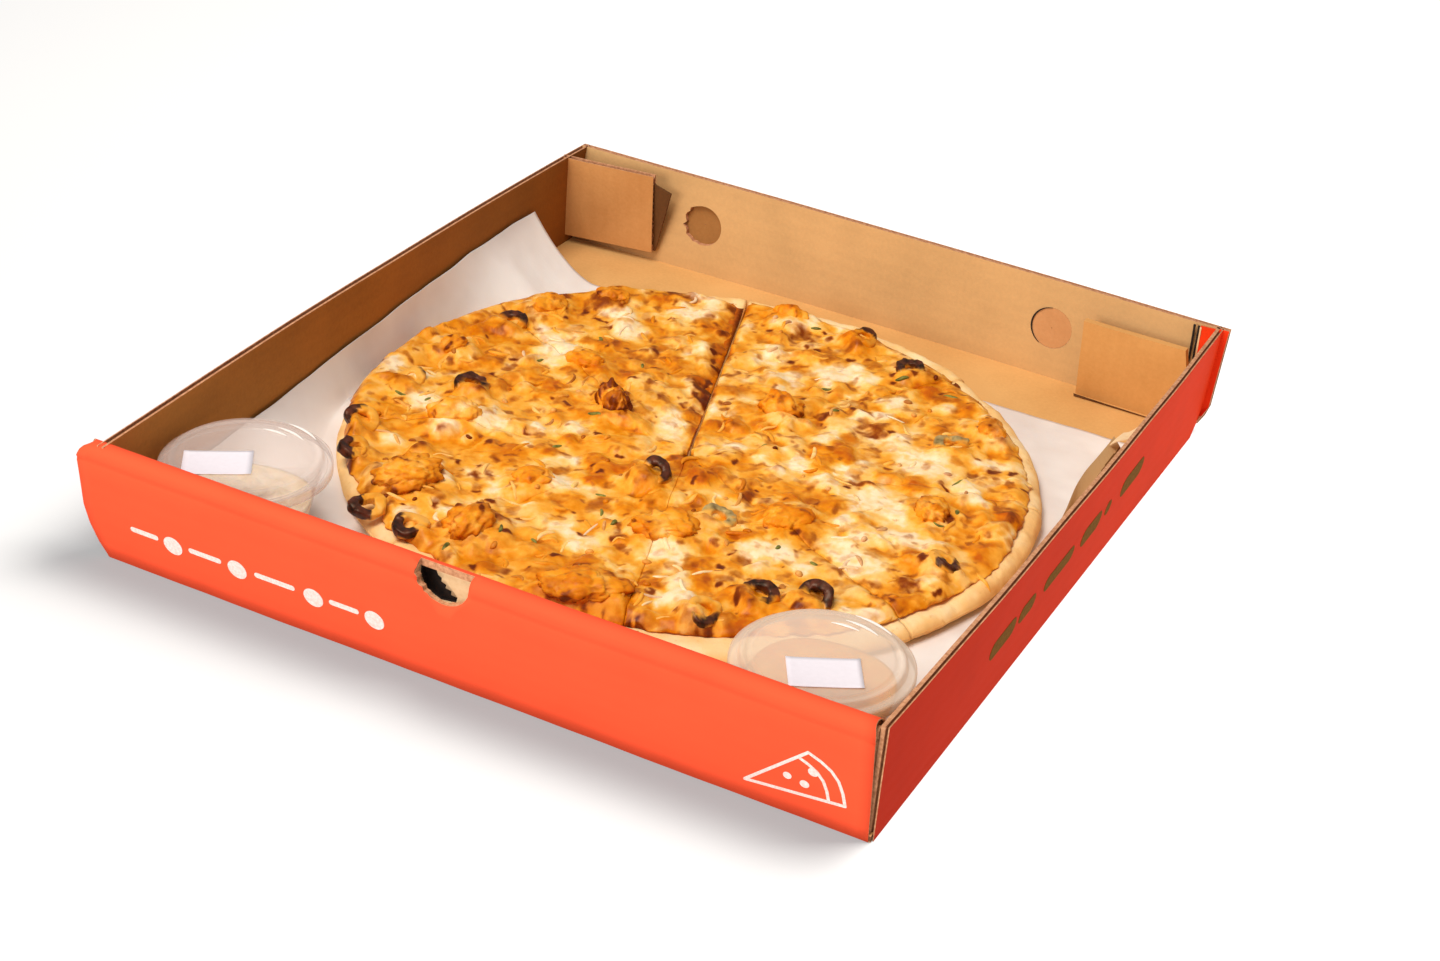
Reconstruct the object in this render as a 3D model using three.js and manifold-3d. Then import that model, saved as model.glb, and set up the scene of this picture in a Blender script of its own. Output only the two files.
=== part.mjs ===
// A takeaway pizza in the open tray of its corrugated box: eight slices still in the
// round, the paper under them and two lidded pots of dip. Millimetres, +Z up, origin
// under the middle of the tray, +Y towards the back wall.
import * as THREE from 'three';
import Module from 'manifold-3d';
import { mergeVertices } from 'three/addons/utils/BufferGeometryUtils.js';

const wasm = await Module();
wasm.setup();

// ---------------------------------------------------------------- driving dimensions
const BOARD = 3;                 // corrugated board, one ply
const WALL = 50;                 // height of the walls
const GAP = 0.3;                 // air between pieces that touch

// The drawing's zero is at the middle of the front wall; CENTRE is the middle of the tray in it.
const CENTRE = { x: 3, y: 5.83 };

// The tray stands a little out of square. Each edge is a gentle bow in plan: its first
// end, the control point between, and its other end, at the foot and at the rim.
const EDGE = {
  left: { foot: [[-165, -170.5], [-165, 5], [-165, 181]], rim: [[-156, -174.5], [-166, 20], [-161.5, 187]] },
  right: { foot: [[165, -170.5], [165, 5], [165, 177]], rim: [[167.2, -174.5], [171.5, 20], [168, 179.5]] },
  back: { foot: [[-165, 181], [-20, 187], [168, 177]], rim: [[-161.5, 187], [0, 186.5], [171, 179.5]] },
};
const BASE_CORNERS = [[-165, -172], [164.5, -172], [165, 177], [0, 182.7], [-165, 181]];

// double front wall: outer panel, rolled top, inner panel, with a slot between the two
const FRONT = { y: -172, lean: 5, left: -164.8, right: 163.6, depth: 9, roll: 4.5 };
const NOTCH = { x: -3, radius: 11, height: 47 };           // thumb notch in the outer panel
const VENT = { radius: 9.8, height: 27, openX: -91.5, closedX: 90, slack: 0.5, pushed: 3.4, dent: 0.8 };
const CRUSHED_CORNERS = [                                   // where the foot is knocked in
  { at: [-164.8, -172, 9], facing: [-15, -5, -14] },
  { at: [165, 177, 7], facing: [6, 8, -9] },
];

// loose board of the back corners and the right wall, drawn as [x, z]; turn and lean in degrees
const LEFT_FLAP = {
  outline: [[-163, 7], [-115, 7], [-115, 48.5], [-163, 48.5]], thick: BOARD, y: 170.5, turn: 5, lean: -5,
};
const RIGHT_FLAP = {
  outline: [[109, 2], [163.5, 2], [163.5, 29], [156, 31], [156, 40.5], [108, 40.5]],
  thick: BOARD, y: 170, turn: -2, lean: -4,
};
const GUSSET = {
  outline: [[153.5, 50], [157.5, 30], [161, 30], [167.5, 44], [168, 50]],
  thick: BOARD / 2, y: 175.6, turn: -1, lean: -4,
};
const TAB = { from: -24, to: 66, low: 2, high: 45, foot: 161.8, tip: 161.4, swell: 2.2 };

const PAPER = {
  thick: 0.8, left: -146.5, right: 156.5, front: -160, back: 137, flatFrom: -124, steepest: -152.5,
};
const PAPER_EDGE = { atFront: 14, atBack: 32 };             // how high it rides up the left wall

const PIZZA = { x: -5, y: 11, radius: 147.5, oval: 3.5, drift: 2, longWay: -35 };
const CUT = { x: -1, y: 2, angles: [108, 63, 18, -26, -72, -117, -159, -207], tip: 0.013 };
const APART = [2.2, 0.9, 1, 1.3, 1, 0.9, 0.9, 2.2];         // how far each slice is drawn out
const CRUST = { bottom: 4.6, top: 9.6, rim: 12.8, edgeTop: 9.4, edgeBottom: 6.8 };
const TOPPING = { thick: 5.8, edge: 1.6, bareRim: 7, bareRimSwing: 5, bareRimAngle: -45 };
const OLIVE = { radius: 7, hole: 2.7, thick: 4.3, sunk: 3.2 };

const POT = { base: 21.5, mouth: 29, flange: 31, height: 29.5, wall: 0.8, lid: 33, lidTop: 33.5, sides: 24 };
const LABEL = { width: 26, depth: 17.5, thick: 0.4 };
const POTS = [
  { name: 'left', x: -121.3, y: -132.3, fill: 13, label: { x: -4.2, y: -11.5, turn: 34 } },
  { name: 'right', x: 123.8, y: -131.6, fill: 20, label: { x: 5.4, y: -10.2, turn: 30 } },
];

// Olive rings: x, y, turn, tilt.
const OLIVES = [
  [-122, 60, 20, 14], [-103, -3, 70, 22], [-129, -11, 10, 8], [-121, -57, 60, 30],
  [-110, -78, 110, 24], [-81, -110, 35, 12], [-60, -112, 80, 10], [-1.5, -25, 20, 26],
  [35, -38, 55, 12], [16, 137, 100, 16], [46.5, 121, 30, 14], [88, 70, 0, 6],
  [123.5, -20, 140, 26], [74.5, -80, 40, 18], [93, -69.5, 15, 30], [62, -101, 80, 20],
];
// Pieces of chicken: x, y, length, width, height, turn.
const CHICKEN = [
  [16, 56, 19, 15, 12, 35], [-95, -28, 27, 18, 12, 30], [-80, -84, 32, 22, 13, 60],
  [18, -115, 34, 18, 11, 20], [-45, 17, 18, 13, 13, -40], [-41, -98, 26, 19, 13, 75],
  [22, -58, 25, 17, 11, 25], [-116, 82, 18, 13, 9, 55], [-97, 107, 16, 11, 8, 20],
  [-22, 139, 20, 10, 8, 5], [58, -24, 22, 16, 9, 70], [104, 14, 20, 15, 10, -50],
  [98, 90, 19, 12, 8, -45], [-130, 24, 15, 11, 8, 80], [-76, 46, 18, 13, 8, -20],
  [-40, -54, 18, 13, 8, 15],
];

// ---------------------------------------------------------------- small helpers
const { degToRad, lerp, smoothstep, clamp } = THREE.MathUtils;
const { sin, cos, hypot, atan2, PI } = Math;
const vec = (x, y, z) => new THREE.Vector3(x, y, z);

/** The numbers 0 to 1 in equal steps. */
const steps = (count) => Array.from({ length: count + 1 }, (_, k) => k / count);

/** A gentle, smooth unevenness of about -1 to 1 over the plan; size is that of one lump. */
function lumps(x, y, size, seed) {
  return (sin(x / size + 1.7 * seed) * cos(y / size * 0.9 + seed)
    + 0.6 * sin((x + y) / size * 1.37 + 2.3 * seed) * cos((x - y) / size * 1.61 - seed)) / 1.4;
}

/** Geometry from points and triangles that close on themselves, with its faces pointing out. */
function closedGeometry(points, triangles) {
  let volume = 0;
  for (const [i, j, k] of triangles) {
    volume += points[i].dot(points[j].clone().cross(points[k]));
  }
  const geometry = new THREE.BufferGeometry();
  const numbers = points.flatMap((p) => p.toArray());
  geometry.setAttribute('position', new THREE.Float32BufferAttribute(numbers, 3));
  geometry.setIndex(triangles.flatMap(([i, j, k]) => (volume < 0 ? [i, k, j] : [i, j, k])));
  return geometry;
}

/** A closed slab between two surfaces, each a function of u and v, taken at the values given. */
function slab(faceA, faceB, us, vs) {
  const points = [faceA, faceB].flatMap((face) => us.flatMap((u) => vs.map((v) => face(u, v))));
  const [nu, nv] = [us.length - 1, vs.length - 1];
  const at = (i, j, side) => (side * us.length + i) * vs.length + j;
  const triangles = [];
  const quad = (a, b, c, d) => triangles.push([a, b, c], [a, c, d]);
  for (let i = 0; i < nu; i++) {
    for (let j = 0; j < nv; j++) {
      quad(at(i, j, 0), at(i + 1, j, 0), at(i + 1, j + 1, 0), at(i, j + 1, 0));
      quad(at(i, j, 1), at(i, j + 1, 1), at(i + 1, j + 1, 1), at(i + 1, j, 1));
    }
    quad(at(i, 0, 0), at(i, 0, 1), at(i + 1, 0, 1), at(i + 1, 0, 0));
    quad(at(i, nv, 0), at(i + 1, nv, 0), at(i + 1, nv, 1), at(i, nv, 1));
  }
  for (let j = 0; j < nv; j++) {
    quad(at(0, j, 0), at(0, j + 1, 0), at(0, j + 1, 1), at(0, j, 1));
    quad(at(nu, j, 0), at(nu, j, 1), at(nu, j + 1, 1), at(nu, j + 1, 0));
  }
  return closedGeometry(points, triangles);
}

/** A three.js geometry as a solid that can be joined and cut. */
function solid(geometry, matrix = new THREE.Matrix4()) {
  const bare = geometry.clone().applyMatrix4(matrix);
  bare.deleteAttribute('normal');
  bare.deleteAttribute('uv');
  const merged = mergeVertices(bare, 1e-4);
  return new wasm.Manifold(new wasm.Mesh({
    numProp: 3,
    vertProperties: Float32Array.from(merged.attributes.position.array),
    triVerts: Uint32Array.from(merged.index.array),
  }));
}

/** A joined or cut solid as a three.js geometry again. */
function geometryOf(manifold) {
  const mesh = manifold.getMesh();
  const geometry = new THREE.BufferGeometry();
  geometry.setAttribute('position', new THREE.Float32BufferAttribute(mesh.vertProperties, 3));
  geometry.setIndex([...mesh.triVerts]);
  return geometry;
}

const box = (w, d, h) => new THREE.BoxGeometry(w, d, h);
const post = (radius, height, sides) => new THREE.CylinderGeometry(radius, radius, height, sides);

/** A closed profile of [radius, height] points turned round Z. */
function turned(profile, sides) {
  const points = profile.map(([r, z]) => new THREE.Vector2(r, z));
  return new THREE.LatheGeometry(points, sides).rotateX(PI / 2);
}

// ---------------------------------------------------------------- tray
const bow = (line) => new THREE.QuadraticBezierCurve(...line.map(([x, y]) => new THREE.Vector2(x, y)));

/** Point on a wall: u along it, v from foot to rim, inset inwards from its outer face. */
function wallPoint(edge, u, v, inset = 0) {
  const foot = bow(edge.foot);
  const p = foot.getPoint(u).lerp(bow(edge.rim).getPoint(u), v);
  const along = foot.getTangent(u);
  const inward = new THREE.Vector2(-along.y, along.x);
  if (inward.dot(p) > 0) inward.negate();
  p.addScaledVector(inward, inset);
  return vec(p.x, p.y, v * WALL);
}

function wall(edge) {
  const outer = (u, v) => wallPoint(edge, u, v);
  const inner = (u, v) => wallPoint(edge, u, v, BOARD);
  return solid(slab(outer, inner, steps(8), steps(1)));
}

function base() {
  const shape = new THREE.Shape(BASE_CORNERS.map(([x, y]) => new THREE.Vector2(x, y)));
  return solid(new THREE.ExtrudeGeometry(shape, { depth: BOARD, bevelEnabled: false }));
}

/** The front wall's section, an upside-down U of board: [depth from its outer face, height]. */
function frontSection() {
  const top = WALL - FRONT.roll;
  const arc = (radius, from, to) => steps(6).slice(1, -1).map((part) => {
    const angle = lerp(from, to, part);
    return [FRONT.roll - radius * cos(angle), top + radius * sin(angle)];
  });
  return [
    [0, 0], [0, top], ...arc(FRONT.roll, 0, PI), [FRONT.depth, top], [FRONT.depth, 0],
    [FRONT.depth - BOARD, 0], [FRONT.depth - BOARD, top], ...arc(FRONT.roll - BOARD, PI, 0),
    [BOARD, top], [BOARD, 0],
  ];
}

/** The section drawn along +X, its depth along +Y, and leaning outwards as it rises. */
function frontWall() {
  const shape = new THREE.Shape(frontSection().map(([depth, z]) => new THREE.Vector2(depth, z)));
  const bar = new THREE.ExtrudeGeometry(shape, { depth: FRONT.right - FRONT.left, bevelEnabled: false });
  bar.applyMatrix4(new THREE.Matrix4().makeBasis(vec(0, 1, 0), vec(0, 0, 1), vec(1, 0, 0)));
  const place = bar.attributes.position;
  for (let k = 0; k < place.count; k++) {
    const z = place.getZ(k);
    place.setXYZ(k, place.getX(k) + FRONT.left, place.getY(k) + FRONT.y - FRONT.lean * z / WALL, z);
  }
  return solid(bar);
}

/** The cut stops inside the slot, so the inner panel stays whole behind the notch. */
function thumbNotch() {
  const reach = 30;
  const slotY = FRONT.y - FRONT.lean + FRONT.roll;
  const shoulders = solid(box(2 * NOTCH.radius, reach, 20).translate(0, 0, 10));
  return solid(post(NOTCH.radius, reach, 28)).add(shoulders)
    .translate([NOTCH.x, slotY - reach / 2, NOTCH.height]);
}

/** A plane piece of board, turned and leant about the first corner of its outline. */
function flap({ outline, thick, y, turn, lean }) {
  const [cx, cz] = outline[0];
  const shape = new THREE.Shape(outline.map(([x, z]) => new THREE.Vector2(x - cx, z - cz)));
  const plate = new THREE.ExtrudeGeometry(shape, { depth: thick, bevelEnabled: false });
  plate.rotateX(PI / 2).translate(0, thick, 0).rotateX(degToRad(-lean)).rotateZ(degToRad(turn));
  return solid(plate.translate(cx, y, cz));
}

/** The inner face of the back wall, at the height of the vents. */
const backFaceY = (x) => wallPoint(EDGE.back, (x + 165) / 333, VENT.height / WALL, BOARD).y;

/** A disc along the back wall, its middle at the depth given behind the wall's inner face. */
const ventDisc = (x, radius, thick, depth) => solid(post(radius, thick, 28))
  .translate([x, backFaceY(x) + depth, VENT.height]);

/** The open vent's disc is pushed out and hangs on a scrap of board at its left. */
function hangingDisc() {
  const x = VENT.openX;
  const hinge = solid(box(4, 2 * BOARD, 5)).translate([x - VENT.radius, backFaceY(x) + BOARD, VENT.height]);
  return ventDisc(x, VENT.radius - VENT.slack, BOARD, VENT.pushed + BOARD / 2).add(hinge);
}

/** The tuck-in tab stands along the right wall and leaves a dark slit between the two. */
function tuckInTab() {
  const face = (swell, inset) => (u, v) => vec(
    lerp(TAB.foot, TAB.tip - swell, v) - inset, lerp(TAB.from, TAB.to, u), lerp(TAB.low, TAB.high, v));
  return solid(slab(face(0, 0), face(TAB.swell, BOARD / 2), steps(1), steps(1)));
}

/** A block that trims a foot corner along the plane through a point. */
function cornerTrim({ at, facing }) {
  const size = 70;
  const normal = vec(...facing).normalize();
  const turn = new THREE.Quaternion().setFromUnitVectors(vec(0, 0, 1), normal);
  const centre = vec(...at).addScaledVector(normal, size / 2);
  return solid(box(size, size, size), new THREE.Matrix4().compose(centre, turn, vec(1, 1, 1)));
}

function trayGeometry() {
  let body = base().add(wall(EDGE.left)).add(wall(EDGE.right)).add(wall(EDGE.back)).add(frontWall());
  for (const piece of [flap(LEFT_FLAP), flap(RIGHT_FLAP), flap(GUSSET), tuckInTab()]) body = body.add(piece);
  body = body.subtract(thumbNotch())
    .subtract(ventDisc(VENT.openX, VENT.radius, 6 * BOARD, BOARD / 2))
    .subtract(ventDisc(VENT.closedX, VENT.radius, 2 * VENT.dent, 0))
    .add(hangingDisc());
  for (const corner of CRUSHED_CORNERS) body = body.subtract(cornerTrim(corner));
  return geometryOf(body);
}

// ---------------------------------------------------------------- paper
/** Radius of the whole pizza towards an angle in radians. */
function pizzaRadius(angle) {
  const fromLongWay = angle - degToRad(PIZZA.longWay);
  return PIZZA.radius + PIZZA.oval * cos(2 * fromLongWay) + PIZZA.drift * cos(fromLongWay);
}

/** Where the paper starts to climb the left wall, just outside the pizza and the pot. */
function paperClimbsFrom(y) {
  const off = clamp((y - PIZZA.y) / PIZZA.radius, -1, 1);
  const pizzaLeft = PIZZA.x - PIZZA.radius * Math.sqrt(1 - off * off) - 4;
  const besidePizza = clamp(pizzaLeft, PAPER.steepest, PAPER.flatFrom);
  return lerp(besidePizza, PAPER.left, smoothstep(-y, 70, 96));
}

function paperGeometry() {
  const climbPart = 0.4;
  const lower = (u, v) => {
    const y = lerp(PAPER.front, PAPER.back, v);
    const from = paperClimbsFrom(y);
    const edgeHeight = lerp(PAPER_EDGE.atFront, PAPER_EDGE.atBack, smoothstep(y, -150, 130));
    const wallX = wallPoint(EDGE.left, (y + 172) / 353, edgeHeight / WALL, BOARD).x + 1.2;
    const climb = clamp((climbPart - u) / climbPart, 0, 1);
    const flat = clamp((u - climbPart) / (1 - climbPart), 0, 1);
    const x = u < climbPart ? lerp(from, wallX, climb) : lerp(from, PAPER.right, flat);
    return vec(x, y, BOARD + GAP + (edgeHeight - BOARD - GAP) * climb ** 1.7);
  };
  const upper = (u, v) => {
    const p = lower(u, v);
    const climb = clamp((climbPart - u) / climbPart, 0, 1);
    return p.add(vec(PAPER.thick * climb, 0, PAPER.thick));
  };
  return slab(lower, upper, [...steps(7).map((s) => s * climbPart), 1], steps(18));
}

// ---------------------------------------------------------------- pizza
const cutAngle = (k) => degToRad(CUT.angles[k % 8] - (k >= 8 ? 360 : 0));

/** Distance from where the cuts cross to the pizza's outer edge, towards an angle. */
function cutToRim(angle) {
  let [near, far] = [0, 2 * PIZZA.radius];
  for (let k = 0; k < 30; k++) {
    const middle = (near + far) / 2;
    const x = CUT.x + middle * cos(angle) - PIZZA.x;
    const y = CUT.y + middle * sin(angle) - PIZZA.y;
    if (hypot(x, y) < pizzaRadius(atan2(y, x))) near = middle;
    else far = middle;
  }
  return near;
}

/** A number that follows a list of [place, value] corners in straight lines. */
function follow(corners, place) {
  const next = corners.findIndex(([p]) => p >= place);
  if (next <= 0) return corners[next === 0 ? 0 : corners.length - 1][1];
  const [[p0, a], [p1, b]] = [corners[next - 1], corners[next]];
  return lerp(a, b, (place - p0) / (p1 - p0));
}

// the crust's section from the tip of a slice, 0, to its outer edge, 1
const CRUST_TOP = [
  [0, CRUST.top], [0.4, CRUST.top], [0.88, CRUST.top + 0.2], [0.93, lerp(CRUST.top, CRUST.rim, 0.6)],
  [0.965, CRUST.rim], [0.986, CRUST.rim - 1], [1, CRUST.edgeTop],
];
const CRUST_UNDER = [
  [0, CRUST.bottom], [0.965, CRUST.bottom], [0.986, CRUST.bottom + 0.6], [1, CRUST.edgeBottom],
];

/** How far out the topping reaches: the bare rim is wide at the front right, narrow at the left. */
function toppingEdge(angle) {
  const swing = TOPPING.bareRimSwing * cos(angle - degToRad(TOPPING.bareRimAngle));
  const bare = TOPPING.bareRim + swing + 1.2 * lumps(150 * angle, 0, 14, 4);
  return 1 - bare / cutToRim(angle);
}

function toppingTop(x, y, angle, out) {
  const edge = toppingEdge(angle);
  const full = smoothstep(edge - out, -0.001, 0.1);
  const thick = lerp(TOPPING.edge, TOPPING.thick + 1.3 * lumps(x, y, 13, 1) + 0.7 * lumps(x, y, 6, 2), full);
  return follow(CRUST_TOP, out) + thick;
}

/** Angle and way out, 0 to 1, of a place in plan. */
function toSlice(x, y) {
  const angle = atan2(y - CUT.y, x - CUT.x);
  return { angle, out: hypot(x - CUT.x, y - CUT.y) / cutToRim(angle) };
}

/** Maps u across a slice and its way out to a point at the height given. */
function slicePoint(k, u, out, height) {
  const [from, to] = [cutAngle(k), cutAngle(k + 1)];
  const angle = lerp(from, to, u);
  const middle = (from + to) / 2;
  const reach = cutToRim(angle) * out;
  const x = CUT.x + reach * cos(angle);
  const y = CUT.y + reach * sin(angle);
  const z = typeof height === 'function' ? height(x, y, angle) : height;
  return vec(x + APART[k] * cos(middle), y + APART[k] * sin(middle), z);
}

function crustGeometry(k) {
  const top = (u, out) => slicePoint(k, u, out, follow(CRUST_TOP, out));
  const under = (u, out) => slicePoint(k, u, out, follow(CRUST_UNDER, out));
  return slab(top, under, steps(6), CRUST_TOP.map(([place]) => (place === 0 ? CUT.tip : place)));
}

/** Cheese and all that is melted into it, with hollows where larger pieces sit. */
function toppingGeometry(k, sunkPieces) {
  const rings = [CUT.tip, 0.13, 0.26, 0.39, 0.52, 0.65, 0.77, 0.88, 0.93, 0.965];
  const ringStep = 0.006;
  const out = (u, ring) => {
    const edge = toppingEdge(lerp(cutAngle(k), cutAngle(k + 1), u));
    return ring < rings.length ? Math.min(rings[ring], edge - (rings.length - ring) * ringStep) : edge;
  };
  const top = (u, ring) => {
    const place = out(u, ring);
    return slicePoint(k, u, place, (x, y, angle) => toppingTop(x, y, angle, place));
  };
  const clear = (place) => follow(CRUST_TOP, place) + GAP + 0.3 * smoothstep(place, 0.8, 0.88);
  const under = (u, ring) => slicePoint(k, u, out(u, ring), clear(out(u, ring)));
  let body = solid(slab(top, under, steps(6), [...rings.keys(), rings.length]));
  for (const piece of sunkPieces) body = body.subtract(piece);
  return geometryOf(body);
}

/** The lowest that a piece may reach at a place: clear above the crust under all of it. */
function floorUnder(x, y, radius) {
  const around = steps(8).map((part) => 2 * PI * part);
  const heights = around.map((a) => follow(CRUST_TOP, toSlice(x + radius * cos(a), y + radius * sin(a)).out));
  return Math.max(...heights) + GAP + 0.9;
}

function surfaceAt(x, y) {
  const { angle, out } = toSlice(x, y);
  return toppingTop(x, y, angle, Math.min(out, toppingEdge(angle)));
}

function placed(x, y, z, turn, tilt) {
  const way = new THREE.Euler(degToRad(tilt), 0, degToRad(turn), 'ZXY');
  return new THREE.Matrix4().makeRotationFromEuler(way).setPosition(x, y, z);
}

/** An olive ring and the hollow it sits in. */
function olive([x, y, turn, tilt], grow = 0) {
  const { radius, hole, thick, sunk } = OLIVE;
  const halfHeight = radius * sin(degToRad(tilt)) + thick / 2 * cos(degToRad(tilt));
  const z = Math.max(surfaceAt(x, y) - sunk + halfHeight, floorUnder(x, y, radius) + halfHeight);
  const half = thick / 2 + grow;
  const crown = lerp(hole, radius, 0.55);
  const ring = [[hole, -half * 0.6], [crown, -half], [radius, -half * 0.4], [radius, half * 0.4],
    [crown, half], [hole, half * 0.6], [hole, -half * 0.6]];
  const hollow = [[0, -half], [radius + grow, -half], [radius + grow, half], [0, half]];
  return turned(grow ? hollow : ring, 12).applyMatrix4(placed(x, y, z, turn, tilt));
}

/** A rough piece of chicken and, grown a little, the hollow it sits in. */
function chicken([x, y, length, width, height, turn], grow = 0) {
  const piece = new THREE.SphereGeometry(1, 9, 6);
  const place = piece.attributes.position;
  for (let k = 0; k < place.count; k++) {
    const p = new THREE.Vector3().fromBufferAttribute(place, k);
    const rough = 1 + 0.17 * lumps(p.x * 20 + x, p.y * 20 + y + p.z * 9, 9, 3);
    const size = vec(length / 2 + grow, width / 2 + grow, height / 2 + grow).multiplyScalar(rough);
    place.setXYZ(k, p.x * size.x, p.y * size.y, p.z * size.z);
  }
  const z = Math.max(surfaceAt(x, y) + 0.08 * height, floorUnder(x, y, width / 2) + 0.56 * height);
  return piece.applyMatrix4(placed(x, y, z, turn, 0));
}

// ---------------------------------------------------------------- pots of dip
const potFloor = BOARD + GAP + PAPER.thick + GAP;
const cupRadius = (height) => lerp(POT.base, POT.mouth, height / POT.height);

function cupGeometry() {
  const { base, flange, height, wall, sides } = POT;
  const underFlange = height - 1.2;
  return turned([
    [0, 0], [base - 1, 0], [base, 1], [cupRadius(underFlange), underFlange], [flange, underFlange],
    [flange, height], [cupRadius(height) - wall, height], [base - wall, wall + 0.6], [0, wall + 0.6],
  ], sides);
}

/** The lid grips the cup's flange and has a shallow step up to its flat top. */
function lidGeometry() {
  const { flange, height, lid, lidTop, wall, sides } = POT;
  const skirt = height - 3.2;
  return turned([
    [0, lidTop - wall], [lid - 6, lidTop - wall], [lid - 5, height + GAP], [flange + GAP, height + GAP],
    [flange + GAP, skirt], [lid, skirt], [lid, height + 1.2], [lid - 3.8, height + 1.5],
    [lid - 4.6, lidTop], [0, lidTop],
  ], sides);
}

/** Dip up to its level, its top pushed up unevenly. */
function dipGeometry(fill, seed) {
  const bottom = POT.wall + 0.6 + GAP;
  const inner = (z) => cupRadius(z) - POT.wall - 2 * GAP;
  const edge = inner(fill);
  const dip = turned([
    [0, bottom], [inner(bottom) - 1, bottom], [inner(bottom), bottom + 1],
    [edge, fill], [0.75 * edge, fill], [0.4 * edge, fill], [0, fill],
  ], POT.sides);
  const place = dip.attributes.position;
  for (let k = 0; k < place.count; k++) {
    const [x, y, z] = [place.getX(k), place.getY(k), place.getZ(k)];
    if (z < fill - GAP) continue;
    place.setZ(k, fill + 1.6 * lumps(x * 1.7, y * 1.7, 9, seed) * (1 - (hypot(x, y) / edge) ** 4));
  }
  return dip;
}

// ---------------------------------------------------------------- the whole object
const finish = (color, roughness, extra = {}) => (
  new THREE.MeshStandardMaterial({ color, roughness, ...extra }));
const FINISH = {
  board: finish(0xd9a066, 0.85),
  paper: finish(0xe8dacd, 0.6),
  crust: finish(0xf3c58d, 0.8),
  cheese: finish(0xf0a848, 0.45),
  olive: finish(0x2a1a1c, 0.35),
  chicken: finish(0xe08a1c, 0.55),
  clear: finish(0xf2efec, 0.1, { transparent: true, opacity: 0.4 }),
  creamyDip: finish(0xf6e2c0, 0.4),
  peachDip: finish(0xf0c090, 0.4),
  label: finish(0xf6f2f4, 0.6),
};

const whole = new THREE.Group();
whole.position.set(-CENTRE.x, -CENTRE.y, 0);

function add(name, geometry, material, parent = whole) {
  const mesh = new THREE.Mesh(geometry, material);
  mesh.name = name;
  parent.add(mesh);
  return mesh;
}

const numbered = (name, k) => `${name}_${String(k + 1).padStart(2, '0')}`;

add('tray', trayGeometry(), FINISH.board);
add('liner_paper', paperGeometry(), FINISH.paper);

const hollows = [
  ...OLIVES.map((spot) => solid(olive(spot, GAP + 0.1))),
  ...CHICKEN.map((spot) => solid(chicken(spot, GAP + 0.15))),
];
for (let k = 0; k < 8; k++) {
  add(`slice_${k + 1}_crust`, crustGeometry(k), FINISH.crust);
  add(`slice_${k + 1}_topping`, toppingGeometry(k, hollows), FINISH.cheese);
}
OLIVES.forEach((spot, k) => add(numbered('olive', k), olive(spot), FINISH.olive));
CHICKEN.forEach((spot, k) => add(numbered('chicken', k), chicken(spot), FINISH.chicken));

POTS.forEach(({ name, x, y, fill, label }, k) => {
  const pot = new THREE.Group();
  pot.position.set(x, y, potFloor);
  whole.add(pot);
  add(`pot_${name}_cup`, cupGeometry(), FINISH.clear, pot);
  add(`pot_${name}_dip`, dipGeometry(fill, k + 5), k ? FINISH.peachDip : FINISH.creamyDip, pot);
  add(`pot_${name}_lid`, lidGeometry(), FINISH.clear, pot);
  const sticker = add(`pot_${name}_label`, box(LABEL.width, LABEL.depth, LABEL.thick), FINISH.label, pot);
  sticker.position.set(label.x, label.y, POT.lidTop + GAP + LABEL.thick / 2);
  sticker.rotation.z = degToRad(label.turn);
});

export default whole;
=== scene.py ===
import math

import bmesh
import bpy
import numpy as np
from bpy.props import FloatProperty, FloatVectorProperty, IntProperty, PointerProperty
from mathutils import Matrix, Vector


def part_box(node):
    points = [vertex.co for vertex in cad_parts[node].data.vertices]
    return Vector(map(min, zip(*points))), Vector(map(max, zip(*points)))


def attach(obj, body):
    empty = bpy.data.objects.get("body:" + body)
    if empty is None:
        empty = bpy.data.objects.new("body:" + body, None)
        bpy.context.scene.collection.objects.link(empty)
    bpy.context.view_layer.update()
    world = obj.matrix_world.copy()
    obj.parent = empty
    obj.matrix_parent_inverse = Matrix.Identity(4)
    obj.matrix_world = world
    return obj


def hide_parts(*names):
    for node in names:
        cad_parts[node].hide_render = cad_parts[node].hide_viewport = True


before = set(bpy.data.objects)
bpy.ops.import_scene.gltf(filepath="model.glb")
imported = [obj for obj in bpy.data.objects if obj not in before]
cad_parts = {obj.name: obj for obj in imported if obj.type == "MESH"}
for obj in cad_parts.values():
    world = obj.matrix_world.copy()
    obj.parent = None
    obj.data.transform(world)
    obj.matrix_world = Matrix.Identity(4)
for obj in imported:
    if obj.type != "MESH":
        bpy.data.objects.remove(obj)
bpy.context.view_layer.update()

bl_info = {
    "name": "Takeaway pizza in its tray",
    "version": (1, 0, 0),
    "blender": (4, 5, 0),
    "location": "3D View > Sidebar > Pizza",
    "description": "Builds the looks of a sliced pizza in a corrugated tray with two pots of dip",
    "category": "Add Mesh",
}

# ------------------------------------------------------------------ the drawing, in millimetres
MM = 0.001
CENTRE = np.array([3.0, 5.83, 0.0])  # the frame's origin in the drawing

BOARD = 3.0
LINER = 0.45  # each face sheet of the board
FLUTE = 6.5  # pitch of the corrugation
SET_BACK = 1.1  # how far the corrugation lies behind a cut edge
# share of each rim that its folded-over inner face takes
RIM_FACE = {"left": 0.3, "right": 0.5, "back": 0.42}
WALL = 50.0

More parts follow.
